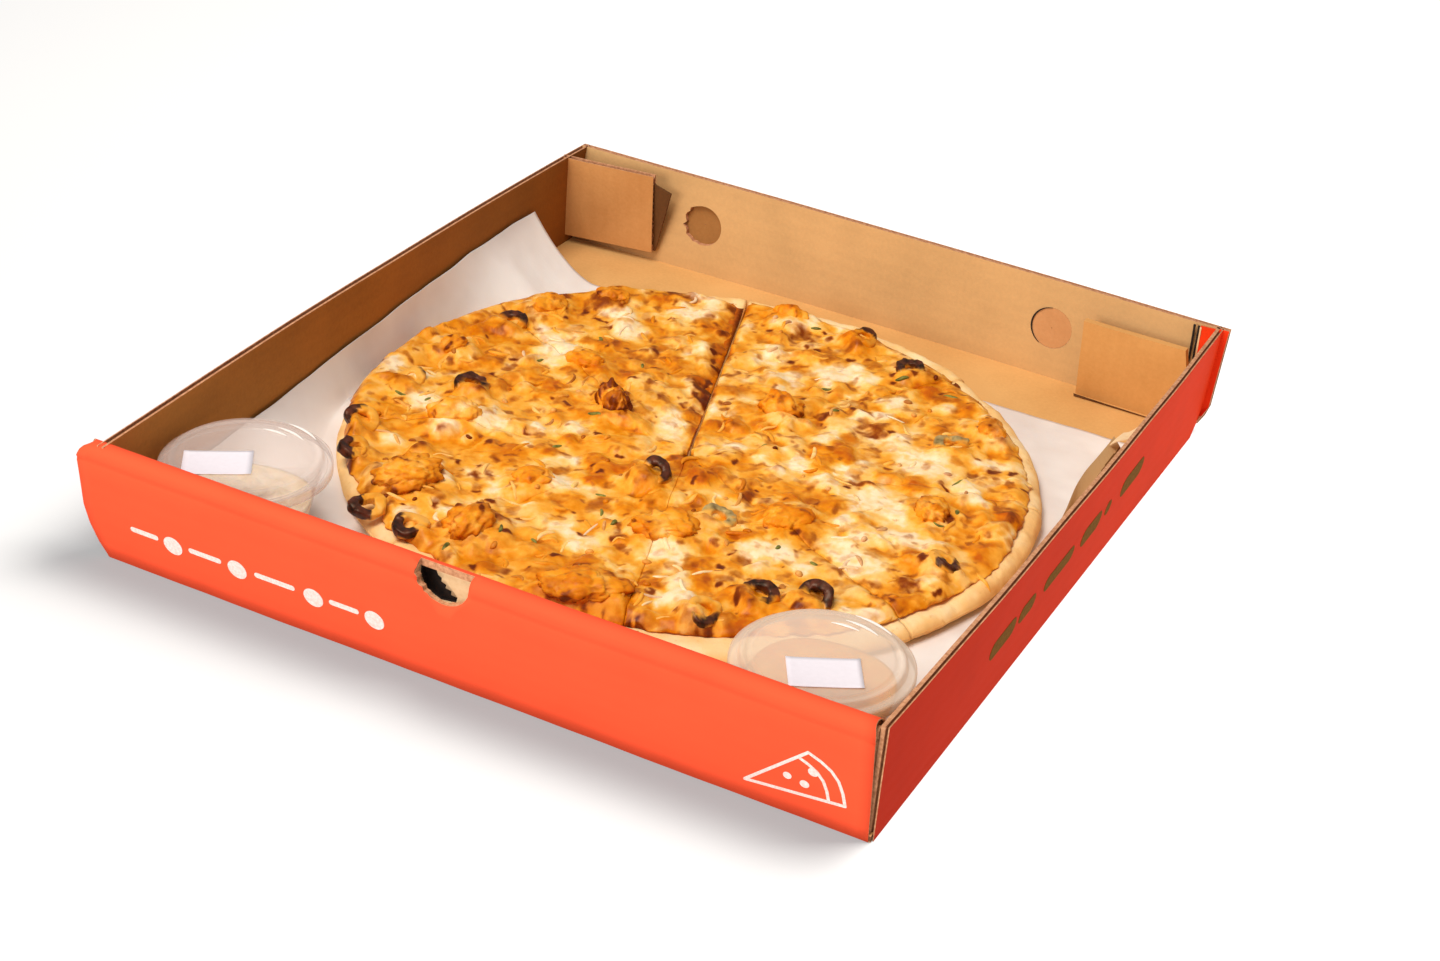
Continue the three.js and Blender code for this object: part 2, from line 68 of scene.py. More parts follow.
# plan of each wall's foot and rim: a gentle bow through one control point
LEFT = {"foot": [[-165, -170.5], [-165, 5], [-165, 181]],
        "rim": [[-156, -174.5], [-166, 20], [-161.5, 187]]}
RIGHT = {"foot": [[165, -170.5], [165, 5], [165, 177]],
         "rim": [[167.2, -174.5], [171.5, 20], [168, 179.5]]}
BACK = {"foot": [[-165, 181], [-20, 187], [168, 177]],
        "rim": [[-161.5, 187], [0, 186.5], [171, 179.5]]}

FRONT_Y, FRONT_LEAN, FRONT_RIGHT, FRONT_LIMIT = -172.0, 5.0, 163.6, -176.5
# the front wall's left end is worn round: its x at each height
FRONT_END_Z = [0, 3.7, 8, 20, 44, 48.3, 50]
FRONT_END_X = [-156, -158, -161.6, -164.8, -164.8, -162.4, -159]
FRONT_DEPTH, FRONT_ROLL = 9.0, 4.5
NOTCH_X, NOTCH_RADIUS, NOTCH_Z = -3.0, 11.0, 47.0
# the inner ply that is torn beside the notch, in x and z; its torn faces are near black, painted shade
NOTCH_RIP = [[-15.5, 46.2], [-9.4, 46.4], [-8.6, 43.6], [-7.2, 42.8], [-7.4, 41.2], [-5.4, 40.4],
             [-5.8, 38.8], [-3.4, 38.4], [-3.6, 36.6], [-1.0, 36.4], [-1.6, 34.0], [-8, 33], [-14, 36],
             [-16, 42]]
VENT_RADIUS, VENT_Z, VENT_OPEN_X, VENT_CLOSED_X = 9.8, 27.0, -91.5, 90.0
VENT_PUSHED = 2.2
BACK_NEAR, BACK_FAR = 160, 200  # y before and behind the back wall
INK_LIFT, INK_THICK = 0.02, 0.1

BASE_LEFT, BASE_RIGHT, BASE_FRONT = -164.8, 164.4, -171.8
WRAP_FROM = (163.5, 166.5)  # x past which the back wall shows the right wall's print, at its foot and rim

# foot corners that are knocked in: a point of the plane and the way it faces
CRUSHED = [([-164.8, -172, 9], [-15, -5, -14]), ([165, 177, 7], [6, 8, -9])]

PAPER_FRONT, PAPER_BACK, PAPER_RIGHT, PAPER_THICK = -160.0, 137.0, 156.2, 0.16
PAPER_Z, PAPER_CLIMB_FRONT, PAPER_CLIMB_BACK = 3.5, 14.0, 32.0  # its height on the base and up the left wall
PAPER_CLIMBING = 0.4  # share of the sheet's points that climb
# x of the bend where it starts to climb: the furthest left and right beside the pizza, and in front of it
PAPER_BEND_LEFT, PAPER_BEND_RIGHT, PAPER_BEND_FRONT = -152.5, -124.0, -146.5

PIZZA_X, PIZZA_Y, PIZZA_RADIUS, PIZZA_OVAL, PIZZA_DRIFT = -5.0, 11.0, 147.5, 3.5, 2.0
PIZZA_LONG_WAY = math.radians(-35)
RING = 150.0  # radius of the ring on which unevenness along the rim is drawn
SLICES = 8
CUT_X, CUT_Y = -1.0, 2.0
CUT_ANGLES = [108, 63, 18, -26, -72, -117, -159, -207]
TIP = 0.013
APART = [2.2, 0.9, 1.0, 1.3, 1.0, 0.9, 0.9, 2.2]
HEALED = [0.0, 0.95, 0.9, 0.55, 0.7, 0.9, 0.8, 0.95]  # how far cheese closes each cut
# the melt is pulled down along the open cut: cut and slice, width and depth
OPEN_SLOPE, SLOPE_WIDTH, SLOPE_DEPTH = (0, 7), 7.0, 3.6
CRUST_BOTTOM, CRUST_TOP, CRUST_RIM, CRUST_EDGE = 4.6, 9.6, 12.8, 8.2
RIM_FROM, RIM_WIDE = 0.965, 0.035  # share of a slice's length where its rim turns down
BARE_RIM = 6.5
# where the bare rim is wider or narrower: angle, reach, by how much
BARE_SWELLS = [(-65, 36, 8.0), (172, 42, -6.0), (82, 42, 3.4)]

POT_BASE, POT_MOUTH, POT_FLANGE, POT_HEIGHT, POT_SKIN = 21.5, 29.0, 31.0, 29.5, 0.45
POT_LID, POT_LID_TOP = 33.0, 33.5
# height of the dip's underside, and how far its side lies within the cup's outer face
DIP_FLOOR, DIP_GAP = 1.5, 0.25

# share of each olive ring and each piece of chicken that the melt leaves bare, by their numbers
OLIVE_SHOWN = [0.6, 0.5, 0.2, 0.65, 0.65, 0.45, 0.5, 0.6, 0.55, 0.5, 0.65, 0.5, 0.8, 0.75, 0.95, 0.45]
CHICKEN_SHOWN = [0.65, 0.3, 0.6, 0.5, 0.7, 0.35, 0.4, 0.35, 0.2, 0.2, 0.3, 0.5, 0.25, 0.15, 0.15, 0.2]


def lerp(a, b, t):
    return a + (b - a) * t


def ease(low, high, value):
    """0 below low, 1 above high and a soft S between them."""
    t = np.clip((np.asarray(value, float) - low) / (high - low), 0, 1)
    return t * t * (3 - 2 * t)


def fuller(value, power):
    """A sine, cosine or unit vector pushed outwards, which makes a round section squarer."""
    return np.sign(value) * np.abs(value) ** power


# ------------------------------------------------------------------ noise
def noise(x, y, size, seed):
    """Smooth random unevenness of about -1 to 1 over a plane; size is that of one lump."""
    turns = np.random.default_rng(seed).random((128, 128)) * 2 * math.pi
    way_x, way_y = np.cos(turns), np.sin(turns)
    u, v = np.asarray(x, float) / size, np.asarray(y, float) / size
    iu, iv = np.floor(u).astype(int), np.floor(v).astype(int)
    fu, fv = u - iu, v - iv

    def corner(du, dv):
        at = (iu + du) % 128, (iv + dv) % 128
        return way_x[at] * (fu - du) + way_y[at] * (fv - dv)

    su, sv = fu**3 * (fu * (6 * fu - 15) + 10), fv**3 * (fv * (6 * fv - 15) + 10)
    near = lerp(corner(0, 0), corner(1, 0), su)
    far = lerp(corner(0, 1), corner(1, 1), su)
    return 1.5 * lerp(near, far, sv)


def rough(x, y, size, seed, octaves=3):
    """Noise with finer and finer lumps on top."""
    return sum(noise(x, y, size / 2**k, seed + k) / 1.8**k for k in range(octaves))


def noise_round(p, size, seed):
    """Noise in space for points p, from three planes of it."""
    x, y, z = p[..., 0], p[..., 1], p[..., 2]
    return (noise(x, y + 0.7 * z, size, seed) + noise(y, z + 0.7 * x, size, seed + 1)
            + noise(z, x + 0.7 * y, size, seed + 2)) / 1.7


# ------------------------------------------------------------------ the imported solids
def nodes_of(kind):
    return sorted(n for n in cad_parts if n.startswith(kind))


def box_of(name):
    """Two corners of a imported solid's box, in the drawing."""
    return (np.array(p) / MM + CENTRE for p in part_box(name))


def solid_of(name):
    """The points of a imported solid, in the drawing."""
    return np.array([v.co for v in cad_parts[name].data.vertices]) / MM + CENTRE


def lie_of(solid):
    """Middle and long axes of a solid's points."""
    _, _, axes = np.linalg.svd(solid - solid.mean(0), full_matrices=False)
    return (solid.min(0) + solid.max(0)) / 2, axes


# ------------------------------------------------------------------ meshes
# a shape is its points in the drawing, its faces and a tag for each face, which picks its material
def placed(name, data):
    """A new object in the scene."""
    made = bpy.data.objects.new(name, data)
    bpy.context.scene.collection.objects.link(made)
    return made


def mesh_of(name, shape, materials):
    """A shape as a mesh with its faces turned outwards."""
    points, faces, tags = shape
    mesh = bpy.data.meshes.new(name)
    mesh.from_pydata(((np.asarray(points, float) - CENTRE) * MM).tolist(), [], [list(f) for f in faces])
    for made in materials:
        mesh.materials.append(made)
    mesh.polygons.foreach_set("material_index", np.asarray(tags, np.int32))
    turning = bmesh.new()
    turning.from_mesh(mesh)
    bmesh.ops.recalc_face_normals(turning, faces=turning.faces)
    turning.to_mesh(mesh)
    turning.free()
    return mesh


def piece(name, shape, materials, nodes=(), fields=None, smooth=True):
    """A shape on the tray's body that stands for CAD nodes; fields hold a value for each point."""
    mesh = mesh_of(name, shape, materials)
    for key, values in (fields or {}).items():
        held = mesh.attributes.new(key, "FLOAT", "POINT")
        held.data.foreach_set("value", np.asarray(values, np.float32))
    mesh.polygons.foreach_set("use_smooth", np.full(len(mesh.polygons), smooth))
    made = placed(name, mesh)
    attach(made, "root")
    if nodes:
        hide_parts(*nodes)
    return made


def card(name, shape, coats, smooth=False):
    """A piece of the tray's board."""
    return piece(f"tray_{name}", shape, coats, ["tray"], smooth=smooth)


def unit_grid(nu, nv):
    """u and v from 0 to 1 over nu by nv points."""
    return np.meshgrid(np.linspace(0, 1, nu), np.linspace(0, 1, nv), indexing="ij")


def around(sides, more=0):
    """Angles of the corners of a round shape, and of some more past the first."""
    return np.arange(sides + more) / sides * 2 * math.pi


def spanned(corners, u, v):
    """Points between four corners: u goes from the first to the second, v from the first to the last."""
    a, b, c, d = (np.array(p, float) for p in corners)
    u, v = u[..., None], v[..., None]
    return lerp(lerp(a, b, u), lerp(d, c, u), v)


def grid_faces(nu, nv, closed=False):
    """Quads of a grid of nu by nv points, numbered along v first; closed joins its last u to its first."""
    index = np.arange(nu * nv).reshape(nu, nv)
    if closed:
        index = np.vstack([index, index[:1]])
    a, b, c, d = index[:-1, :-1], index[1:, :-1], index[1:, 1:], index[:-1, 1:]
    return np.stack([a, b, c, d], -1).reshape(-1, 4)


def slab(face_a, face_b, tag_a=0, tag_b=0, tag_side=0):
    """The closed solid between two equal grids of points."""
    nu, nv = face_a.shape[:2]
    count = nu * nv
    points = np.concatenate([face_a.reshape(-1, 3), face_b.reshape(-1, 3)])
    on_a = grid_faces(nu, nv)
    index = np.arange(count).reshape(nu, nv)
    loop = np.concatenate([index[:, 0], index[-1, 1:], index[-2::-1, -1], index[0, -2:0:-1]])
    after = np.roll(loop, -1)
    sides = np.stack([loop, after, after + count, loop + count], -1)
    faces = np.concatenate([on_a, on_a + count, sides])
    tags = np.repeat([tag_a, tag_b, tag_side], [len(on_a), len(on_a), len(sides)])
    return points, faces, tags


def joined(shapes):
    """Several shapes as one."""
    points, faces, tags, start = [], [], [], 0
    for more_points, more_faces, more_tags in shapes:
        points.append(more_points)
        faces.extend((np.asarray(f) + start).tolist() for f in more_faces)
        tags.extend(more_tags)
        start += len(more_points)
    return np.concatenate(points), faces, tags


def drum(near, far, tag=0):
    """The solid between two equal outlines."""
    count = len(near)
    sides = [[k, (k + 1) % count, (k + 1) % count + count, k + count] for k in range(count)]
    faces = [list(range(count)), list(range(count, 2 * count))] + sides
    return np.concatenate([near, far]), faces, [tag] * len(faces)


def prism(outline, near, far, tag=2):
    """The solid with an [x, z] outline, from y near to y far."""
    return drum([[x, near, z] for x, z in outline], [[x, far, z] for x, z in outline], tag)


def cut(made, cutters):
    """Takes solids out of a piece; what they bare gets the material of their tags."""
    for shape in cutters:
        tool = placed("cutter", mesh_of("cutter", shape, made.data.materials))
        taking = made.modifiers.new("cut", "BOOLEAN")
        taking.operation, taking.solver, taking.object = "DIFFERENCE", "EXACT", tool
        bpy.context.view_layer.update()
        finished = bpy.data.meshes.new_from_object(made.evaluated_get(bpy.context.evaluated_depsgraph_get()))
        made.modifiers.clear()
        made.data = finished
        bpy.data.objects.remove(tool)
    if not made.data.polygons:
        raise RuntimeError(f"nothing is left of {made.name}")


def capped(body, first, last):
    """The solid of strips round an axis, as [strip, place along it], closed by a point at each end."""
    sides, count = body.shape[:2]
    points = np.concatenate([body.reshape(-1, 3), [first], [last]])
    faces = grid_faces(sides, count, closed=True).tolist()
    end = sides * count
    for k in range(sides):
        after = (k + 1) % sides
        faces.append([end, k * count, after * count])
        faces.append([end + 1, after * count + count - 1, k * count + count - 1])
    return points, faces, [0] * len(faces)


def tube(path, radii, sides, flat):
    """A round strip along a path that tapers to its ends; flat squashes it."""
    path = np.asarray(path, float)
    along = np.gradient(path, axis=0)
    along /= np.linalg.norm(along, axis=1, keepdims=True)
    across = np.cross(along, [0, 0, 1.0])
    across /= np.linalg.norm(across, axis=1, keepdims=True) + 1e-9
    up = np.cross(across, along)
    turn = around(sides)
    ring = (np.cos(turn)[None, :, None] * across[:, None] + flat * np.sin(turn)[None, :, None] * up[:, None])
    body = path[:, None] + ring * np.asarray(radii)[:, None, None]
    return capped(body.transpose(1, 0, 2), path[0], path[-1])


def turned(profile, sides, x, y, z):
    """A profile of [radius, height] that starts and ends on the axis, turned round Z."""
    profile = np.asarray(profile, float)
    radius, height = profile[1:-1].T
    turn = around(sides)
    body = np.stack([np.cos(turn)[:, None] * radius, np.sin(turn)[:, None] * radius,
                     np.broadcast_to(height, (sides, len(height)))], -1) + [x, y, z]
    return capped(body, [x, y, z + profile[0, 1]], [x, y, z + profile[-1, 1]])


# ------------------------------------------------------------------ colour and materials
def colour(code):
    """An sRGB hex value as linear red, green, blue and alpha."""
    channels = [int(code[k:k + 2], 16) / 255 for k in (1, 3, 5)]
    return tuple(c / 12.92 if c <= 0.04045 else ((c + 0.055) / 1.055) ** 2.4 for c in channels) + (1.0,)


BLACK, WHITE = (0, 0, 0, 1), (1, 1, 1, 1)
FLUTE_BANDS = 0.314  # a wave texture's bands lie this far apart at scale 1


def add_node(tree, kind, inputs=None, **settings):
    """A shader node with its settings and inputs; an input that is a node or an output socket is linked."""
    node = tree.nodes.new("ShaderNode" + kind)
    for key, value in settings.items():
        if key == "stops":
            while len(node.color_ramp.elements) < len(value):
                node.color_ramp.elements.new(0.5)
            for stop, (place, shade) in zip(node.color_ramp.elements, value):
                stop.position, stop.color = place, shade
        else:
            setattr(node, key, value)
    for key, value in (inputs or {}).items():
        if isinstance(value, bpy.types.Node):
            value = next(out for out in value.outputs if out.enabled)
        if isinstance(value, bpy.types.NodeSocket):
            tree.links.new(value, node.inputs[key])
        else:
            node.inputs[key].default_value = value
    return node


def per(size):
    """Texture scale at which one lump is size millimetres."""
    return 1 / (size * MM)


def evenly(shades):
    """Colours at equal steps from 0 to 1."""
    return [(k / (len(shades) - 1), shade) for k, shade in enumerate(shades)]


def start(name):
    """A new material: itself, its tree and the place of each point in metres."""
    made = bpy.data.materials.new(name)
    made.use_nodes = True
    made.node_tree.nodes.clear()
    return made, made.node_tree, add_node(made.node_tree, "TexCoord").outputs["Object"]


def finish(made, inputs, height=None, strength=0.0, depth=0.0):
    """The material with its shader, which takes these inputs; height raises it by depth millimetres."""
    if height is not None:
        relief = {"Strength": strength, "Distance": depth * MM, "Height": height}
        inputs["Normal"] = add_node(made.node_tree, "Bump", relief)
    shader = add_node(made.node_tree, "BsdfPrincipled", inputs)
    add_node(made.node_tree, "OutputMaterial", {"Surface": shader})
    return made


def along_tray(tree, place, base, ends):
    """A colour multiplied by one going from the first of ends to the last along the tray: painted shade."""
    if not ends:
        return base
    split = add_node(tree, "SeparateXYZ", {0: place})
    share = add_node(tree, "MapRange", {0: split.outputs[1], 1: -170 * MM, 2: 180 * MM})
    tint = add_node(tree, "Mix", {0: share, 6: ends[0], 7: ends[1]}, data_type="RGBA")
    return add_node(tree, "Mix", {0: 1.0, 6: base, 7: tint}, data_type="RGBA", blend_type="MULTIPLY")


def kraft_liner(name, light, dark, ribs="Z", ends=None):
    """Kraft liner, machine made and uncoated: matt, with blotches, fibres and flutes that show through."""
    made, tree, place = start(name)
    blotch = add_node(tree, "TexNoise", {"Vector": place, "Scale": per(45), "Detail": 3.0})
    fibre = add_node(tree, "TexNoise", {"Vector": place, "Scale": per(1.6), "Detail": 4.0})
    wave = add_node(tree, "TexWave", {"Vector": place, "Scale": FLUTE_BANDS * per(FLUTE), "Distortion": 0.6,
                                      "Detail": 1.0}, bands_direction=ribs).outputs["Fac"]
    tone = add_node(tree, "Math", {0: fibre, 1: 0.35, 2: blotch}, operation="MULTIPLY_ADD")
    tone = add_node(tree, "Math", {0: wave, 1: 0.04, 2: tone}, operation="MULTIPLY_ADD")
    shade = add_node(tree, "ValToRGB", {0: tone}, stops=[(0.42, dark), (0.86, light)])
    height = add_node(tree, "Math", {0: wave, 1: 0.25, 2: fibre}, operation="MULTIPLY_ADD")
    return finish(made, {"Base Color": along_tray(tree, place, shade, ends), "Roughness": 0.86,
                         "Specular IOR Level": 0.25}, height, 0.35, 0.25)


def printed_liner(name, ink, worn, ends=None):
    """Kraft liner, flexo printed in one solid ink with a thin varnish: even, satin, faintly washboarded."""
    made, tree, place = start(name)
    cloud = add_node(tree, "TexNoise", {"Vector": place, "Scale": per(30), "Detail": 4.0})
    grain = add_node(tree, "TexNoise", {"Vector": place, "Scale": per(0.9), "Detail": 3.0})
    wave = add_node(tree, "TexWave", {"Vector": place, "Scale": FLUTE_BANDS * per(FLUTE), "Distortion": 0.8,
                                      "Detail": 1.0}, bands_direction="Z").outputs["Fac"]
    tone = add_node(tree, "Math", {0: grain, 1: 0.3, 2: cloud}, operation="MULTIPLY_ADD")
    shade = add_node(tree, "ValToRGB", {0: tone}, stops=[(0.3, worn), (0.72, ink)])
    height = add_node(tree, "Math", {0: grain, 1: 0.3, 2: wave}, operation="MULTIPLY_ADD")
    return finish(made, {"Base Color": along_tray(tree, place, shade, ends), "Roughness": 0.7,
                         "Specular IOR Level": 0.03}, height, 0.18, 0.2)


def plain_sheet(name, light, dark, size, roughness, depth=0.1, specular=0.5):
    """Paper, ink or board core, as made: one colour with a fine grain of the size given."""
    made, tree, place = start(name)
    grain = add_node(tree, "TexNoise", {"Vector": place, "Scale": per(size), "Detail": 4.0})
    shade = add_node(tree, "ValToRGB", {0: grain}, stops=[(0.3, dark), (0.7, light)])
    return finish(made, {"Base Color": shade, "Roughness": roughness, "Specular IOR Level": specular},
                  grain, 0.4, depth)


def greaseproof(name, light, dark):
    """Greaseproof paper, calendered: thin, smooth, a little see-through and darker where grease soaks in."""
    made, tree, place = start(name)
    soak = add_node(tree, "TexNoise", {"Vector": place, "Scale": per(38), "Detail": 3.0})
    crease = add_node(tree, "TexNoise", {"Vector": place, "Scale": per(9), "Detail": 5.0})
    shade = add_node(tree, "ValToRGB", {0: soak}, stops=[(0.36, dark), (0.62, light)])
    return finish(made, {"Base Color": shade, "Roughness": 0.48, "Subsurface Weight": 0.15,
                         "Subsurface Radius": (0.002, 0.0016, 0.0012)}, crease, 0.35, 0.5)


def baked_dough(name, light, golden, toasted):
    """Bread dough, stone baked: pale and floury, golden where it stands up, with toasted freckles."""
    made, tree, place = start(name)
    bake = add_node(tree, "Attribute", attribute_name="bake").outputs["Fac"]
    patch = add_node(tree, "TexNoise", {"Vector": place, "Scale": per(16), "Detail": 4.0})
    freckle = add_node(tree, "TexNoise", {"Vector": place, "Scale": per(3.2), "Detail": 3.0})
    tone = add_node(tree, "Math", {0: patch, 1: bake}, operation="ADD")
    shade = add_node(tree, "ValToRGB", {0: tone}, stops=[(0.36, light), (0.62, golden), (1.0, toasted)])
    spot = add_node(tree, "ValToRGB", {0: freckle}, stops=[(0.62, BLACK), (0.74, WHITE)])
    strength = add_node(tree, "Math", {0: spot, 1: 0.45}, operation="MULTIPLY")
    both = add_node(tree, "Mix", {0: strength, 6: shade, 7: toasted}, data_type="RGBA")
    pore = add_node(tree, "TexNoise", {"Vector": place, "Scale": per(1.4), "Detail": 4.0})
    return finish(made, {"Base Color": both, "Roughness": 0.72, "Specular IOR Level": 0.3,
                         "Subsurface Weight": 0.12, "Subsurface Radius": (0.003, 0.002, 0.001)},
                  pore, 0.5, 0.35)


def melted_cheese(name, shades, browned, burnt, wet=0.38):
    """Mozzarella melted over spiced sauce: cream to orange by its tone, browned on top, greasy."""
    made, tree, place = start(name)
    tone = add_node(tree, "Attribute", attribute_name="tone").outputs["Fac"]
    brown = add_node(tree, "Attribute", attribute_name="brown").outputs["Fac"]
    fine = add_node(tree, "TexNoise", {"Vector": place, "Scale": per(3.0), "Detail": 3.0})
    shift = add_node(tree, "Math", {0: fine, 1: 0.36, 2: -0.18}, operation="MULTIPLY_ADD")
    mixed = add_node(tree, "Math", {0: tone, 1: shift}, operation="ADD")
    base = add_node(tree, "ValToRGB", {0: mixed}, stops=evenly(shades))
    toast = add_node(tree, "Math", {0: shift, 1: 1.2, 2: brown}, operation="MULTIPLY_ADD", use_clamp=True)
    over = add_node(tree, "ValToRGB", {0: toast}, stops=[(0.35, browned), (0.95, burnt)])
    share = add_node(tree, "ValToRGB", {0: toast}, stops=[(0.08, BLACK), (0.75, WHITE)])
    both = add_node(tree, "Mix", {0: share, 6: base, 7: over}, data_type="RGBA")
    gloss = add_node(tree, "Math", {0: fine, 1: 0.4, 2: wet - 0.2}, operation="MULTIPLY_ADD")
    return finish(made, {"Base Color": both, "Roughness": gloss, "Specular IOR Level": 0.13,
                         "Subsurface Weight": 0.22, "Subsurface Radius": (0.0025, 0.0014, 0.0006)},
                  fine, 0.14, 0.5)


def wet_skin(name, light, dark, size, roughness, film=None):
    """Fruit or vegetable skin, cooked and oily: glossy and mottled, under a film of cheese by its cover."""
    made, tree, place = start(name)
    mottle = add_node(tree, "TexNoise", {"Vector": place, "Scale": per(size), "Detail": 4.0})
    shade = add_node(tree, "ValToRGB", {0: mottle}, stops=[(0.35, dark), (0.7, light)])
    if film:
        cover = add_node(tree, "Attribute", attribute_name="cover").outputs["Fac"]
        tone = add_node(tree, "Attribute", attribute_name="tone").outputs["Fac"]
        over = add_node(tree, "ValToRGB", {0: tone}, stops=evenly(film))
        shade = add_node(tree, "Mix", {0: cover, 6: shade, 7: over}, data_type="RGBA")
    return finish(made, {"Base Color": shade, "Roughness": roughness, "Specular IOR Level": 0.3,
                         "Specular Tint": colour("#FFD9B0"), "Coat Weight": 0.08, "Coat Roughness": 0.2},
                  mottle, 0.4, 0.3)


def clear_plastic(name, tint, roughness, film, rim):
    """Polypropylene, vacuum formed: thin and clear with a milky film, denser where it is seen edge on."""
    made, tree, place = start(name)
    facing = add_node(tree, "LayerWeight", {"Blend": 0.35}).outputs["Facing"]
    dense = add_node(tree, "Math", {0: facing, 1: 2.0}, operation="POWER")
    alpha = add_node(tree, "Math", {0: dense, 1: rim, 2: film}, operation="MULTIPLY_ADD", use_clamp=True)
    ripple = add_node(tree, "TexNoise", {"Vector": place, "Scale": per(7), "Detail": 2.0})
    return finish(made, {"Base Color": tint, "Roughness": roughness, "IOR": 1.9, "Alpha": alpha},
                  ripple, 0.15, 0.3)


def thick_dip(name, light, dark):
    """Mayonnaise-based dip, stirred: smooth, dense and glossy."""
    made, tree, place = start(name)
    swirl = add_node(tree, "TexNoise", {"Vector": place, "Scale": per(6), "Detail": 3.0})
    shade = add_node(tree, "ValToRGB", {0: swirl}, stops=[(0.3, dark), (0.7, light)])
    return finish(made, {"Base Color": shade, "Roughness": 0.32, "Subsurface Weight": 0.3,
                         "Subsurface Radius": (0.003, 0.002, 0.001)}, swirl, 0.5, 0.6)


# ------------------------------------------------------------------ tray
def bow(line, u):
    """Points along a bow, u from 0 to 1."""
    a, b, c = (np.array(p, float) for p in line)
    u = np.asarray(u, float)[..., None]
    return (1 - u) ** 2 * a + 2 * u * (1 - u) * b + u**2 * c


def share_along(line, place, axis):
    """How far along a bow, 0 to 1, it reaches a given x (axis 0) or y (axis 1)."""
    u = np.linspace(-0.05, 1.05, 221)
    return np.interp(place, bow(line, u)[:, axis], u)


def wall_point(edge, u, v, inset):
    """Points on a wall: u along it, v from foot to rim, inset inwards from its outer face."""
    u, v = np.broadcast_arrays(np.asarray(u, float), np.asarray(v, float))
    plan = lerp(bow(edge["foot"], u), bow(edge["rim"], u), v[..., None])
    a, b, c = (np.array(p, float) for p in edge["foot"])
    along = lerp(b - a, c - b, u[..., None])
    inward = np.stack([-along[..., 1], along[..., 0]], -1)
    inward /= np.linalg.norm(inward, axis=-1, keepdims=True)
    inward *= np.where((inward * plan).sum(-1) > 0, -1.0, 1.0)[..., None]
    return np.concatenate([plan + inward * np.asarray(inset, float)[..., None], v[..., None] * WALL], -1)


def knock_in(points, share):
    """Pushes the crushed foot corners in; share is 0 on the outer face of the board and 1 on the inner."""
    for at, facing in CRUSHED:
        way = np.array(facing, float) / np.linalg.norm(facing)
        past = (points - np.array(at)) @ way + BOARD * share
        points = points - np.clip(past, 0, None)[..., None] * way
    return points


def board(outer, inner, open_sides, tag_outer=0, inner_share=LINER / BOARD):
    """Two liners and the corrugated core between two grids; open_sides are cut edges: u0, u1, v0 or v1."""
    # its tags: 0 outer face, 1 inner face, 2 cut edge, 3 corrugation
    share = LINER / BOARD
    levels = [0.0, share, share + 0.01, 0.99 - inner_share, 1 - inner_share, 1.0]
    sheets = [knock_in(lerp(outer, inner, level), level) for level in levels]
    for k in (2, 3):
        core = sheets[k]
        ends = {"u0": (core[0], core[1]), "u1": (core[-1], core[-2]),
                "v0": (core[:, 0], core[:, 1]), "v1": (core[:, -1], core[:, -2])}
        for side in open_sides:
            last, before = ends[side]
            way = before - last
            last += way / (np.linalg.norm(way, axis=-1, keepdims=True) + 1e-9) * SET_BACK
    return joined([slab(sheets[0], sheets[1], tag_outer, 2, 2), slab(sheets[2], sheets[3], 3, 3, 3),
                   slab(sheets[4], sheets[5], 2, 1, 2)])


def wavy_middle(rim_outer, rim_inner, into):
    """The corrugated sheet along a cut edge, between the edge lines of the two faces."""
    length = np.linalg.norm(rim_outer[-1] - rim_outer[0])
    steps = int(length / FLUTE * 10)
    s = np.linspace(0, 1, steps)
    outer, inner = (np.stack([np.interp(s, np.linspace(0, 1, len(rim)), rim[:, k]) for k in range(3)], -1)
                    for rim in (rim_outer, rim_inner))
    swing = 0.5 + 0.32 * np.sin(2 * math.pi * s * length / FLUTE)
    faces = []
    for offset in (-0.06, 0.06):
        line = lerp(outer, inner, (swing + offset)[:, None])
        faces.append(np.stack([line + np.array(into) * 0.15, line + np.array(into) * 1.6], 1))
    return slab(faces[0], faces[1], 2, 2, 2)


def front_section(depth_outer):
    """The rolled front wall's section at one face of its board: [depth, height] up, over and down."""
    top = WALL - FRONT_ROLL
    radius = FRONT_ROLL - depth_outer
    crease = top - 2.5
    up = [[depth_outer, z] for z in (0.0, 6, 14, 22, 30, 37, crease - 1)]
    up += [[depth_outer + 0.35, crease], [depth_outer, crease + 1], [depth_outer, top - 0.5]]
    over = [[FRONT_ROLL - radius * math.cos(a), top + radius * math.sin(a)]
            for a in np.linspace(0, math.pi, 9)]
    down = [[FRONT_DEPTH - depth_outer, z] for z in (top - 3, 36, 27, 18, 9, BOARD + 0.2)]
    return np.array(up + over + down)


def front_wander(x, z):
    """How far the front wall's face strays from its plane."""
    return 0.35 * noise(x, z, 60, 5) + 0.12 * noise(x, z, 17, 6)


def wall_wander(u, z, seed):
    """How far another wall's face strays at its rim, at a share along it and a height."""
    return 0.35 * noise(u * 330, z, 70, seed)


def front_grid(depth_outer):
    section = front_section(depth_outer)
    u = np.linspace(0, 1, 67)[:, None]
    z = np.broadcast_to(section[:, 1], (67, len(section)))
    left = np.interp(z, FRONT_END_Z, FRONT_END_X)
    right = FRONT_RIGHT - 1.5 * ease(46, 51, z)
    x = lerp(left, right, u)
    y = FRONT_Y + section[:, 1] * -FRONT_LEAN / WALL + section[:, 0] + front_wander(x, z)
    return np.stack([x, np.maximum(y, FRONT_LIMIT), z], -1)


def wall_grids(edge, seed):
    """The outer and inner face of a single wall."""
    u, v = unit_grid(61, 9)
    wavy = wall_wander(u, v * 50, seed) * v
    return wall_point(edge, u, v, wavy), wall_point(edge, u, v, BOARD + wavy)


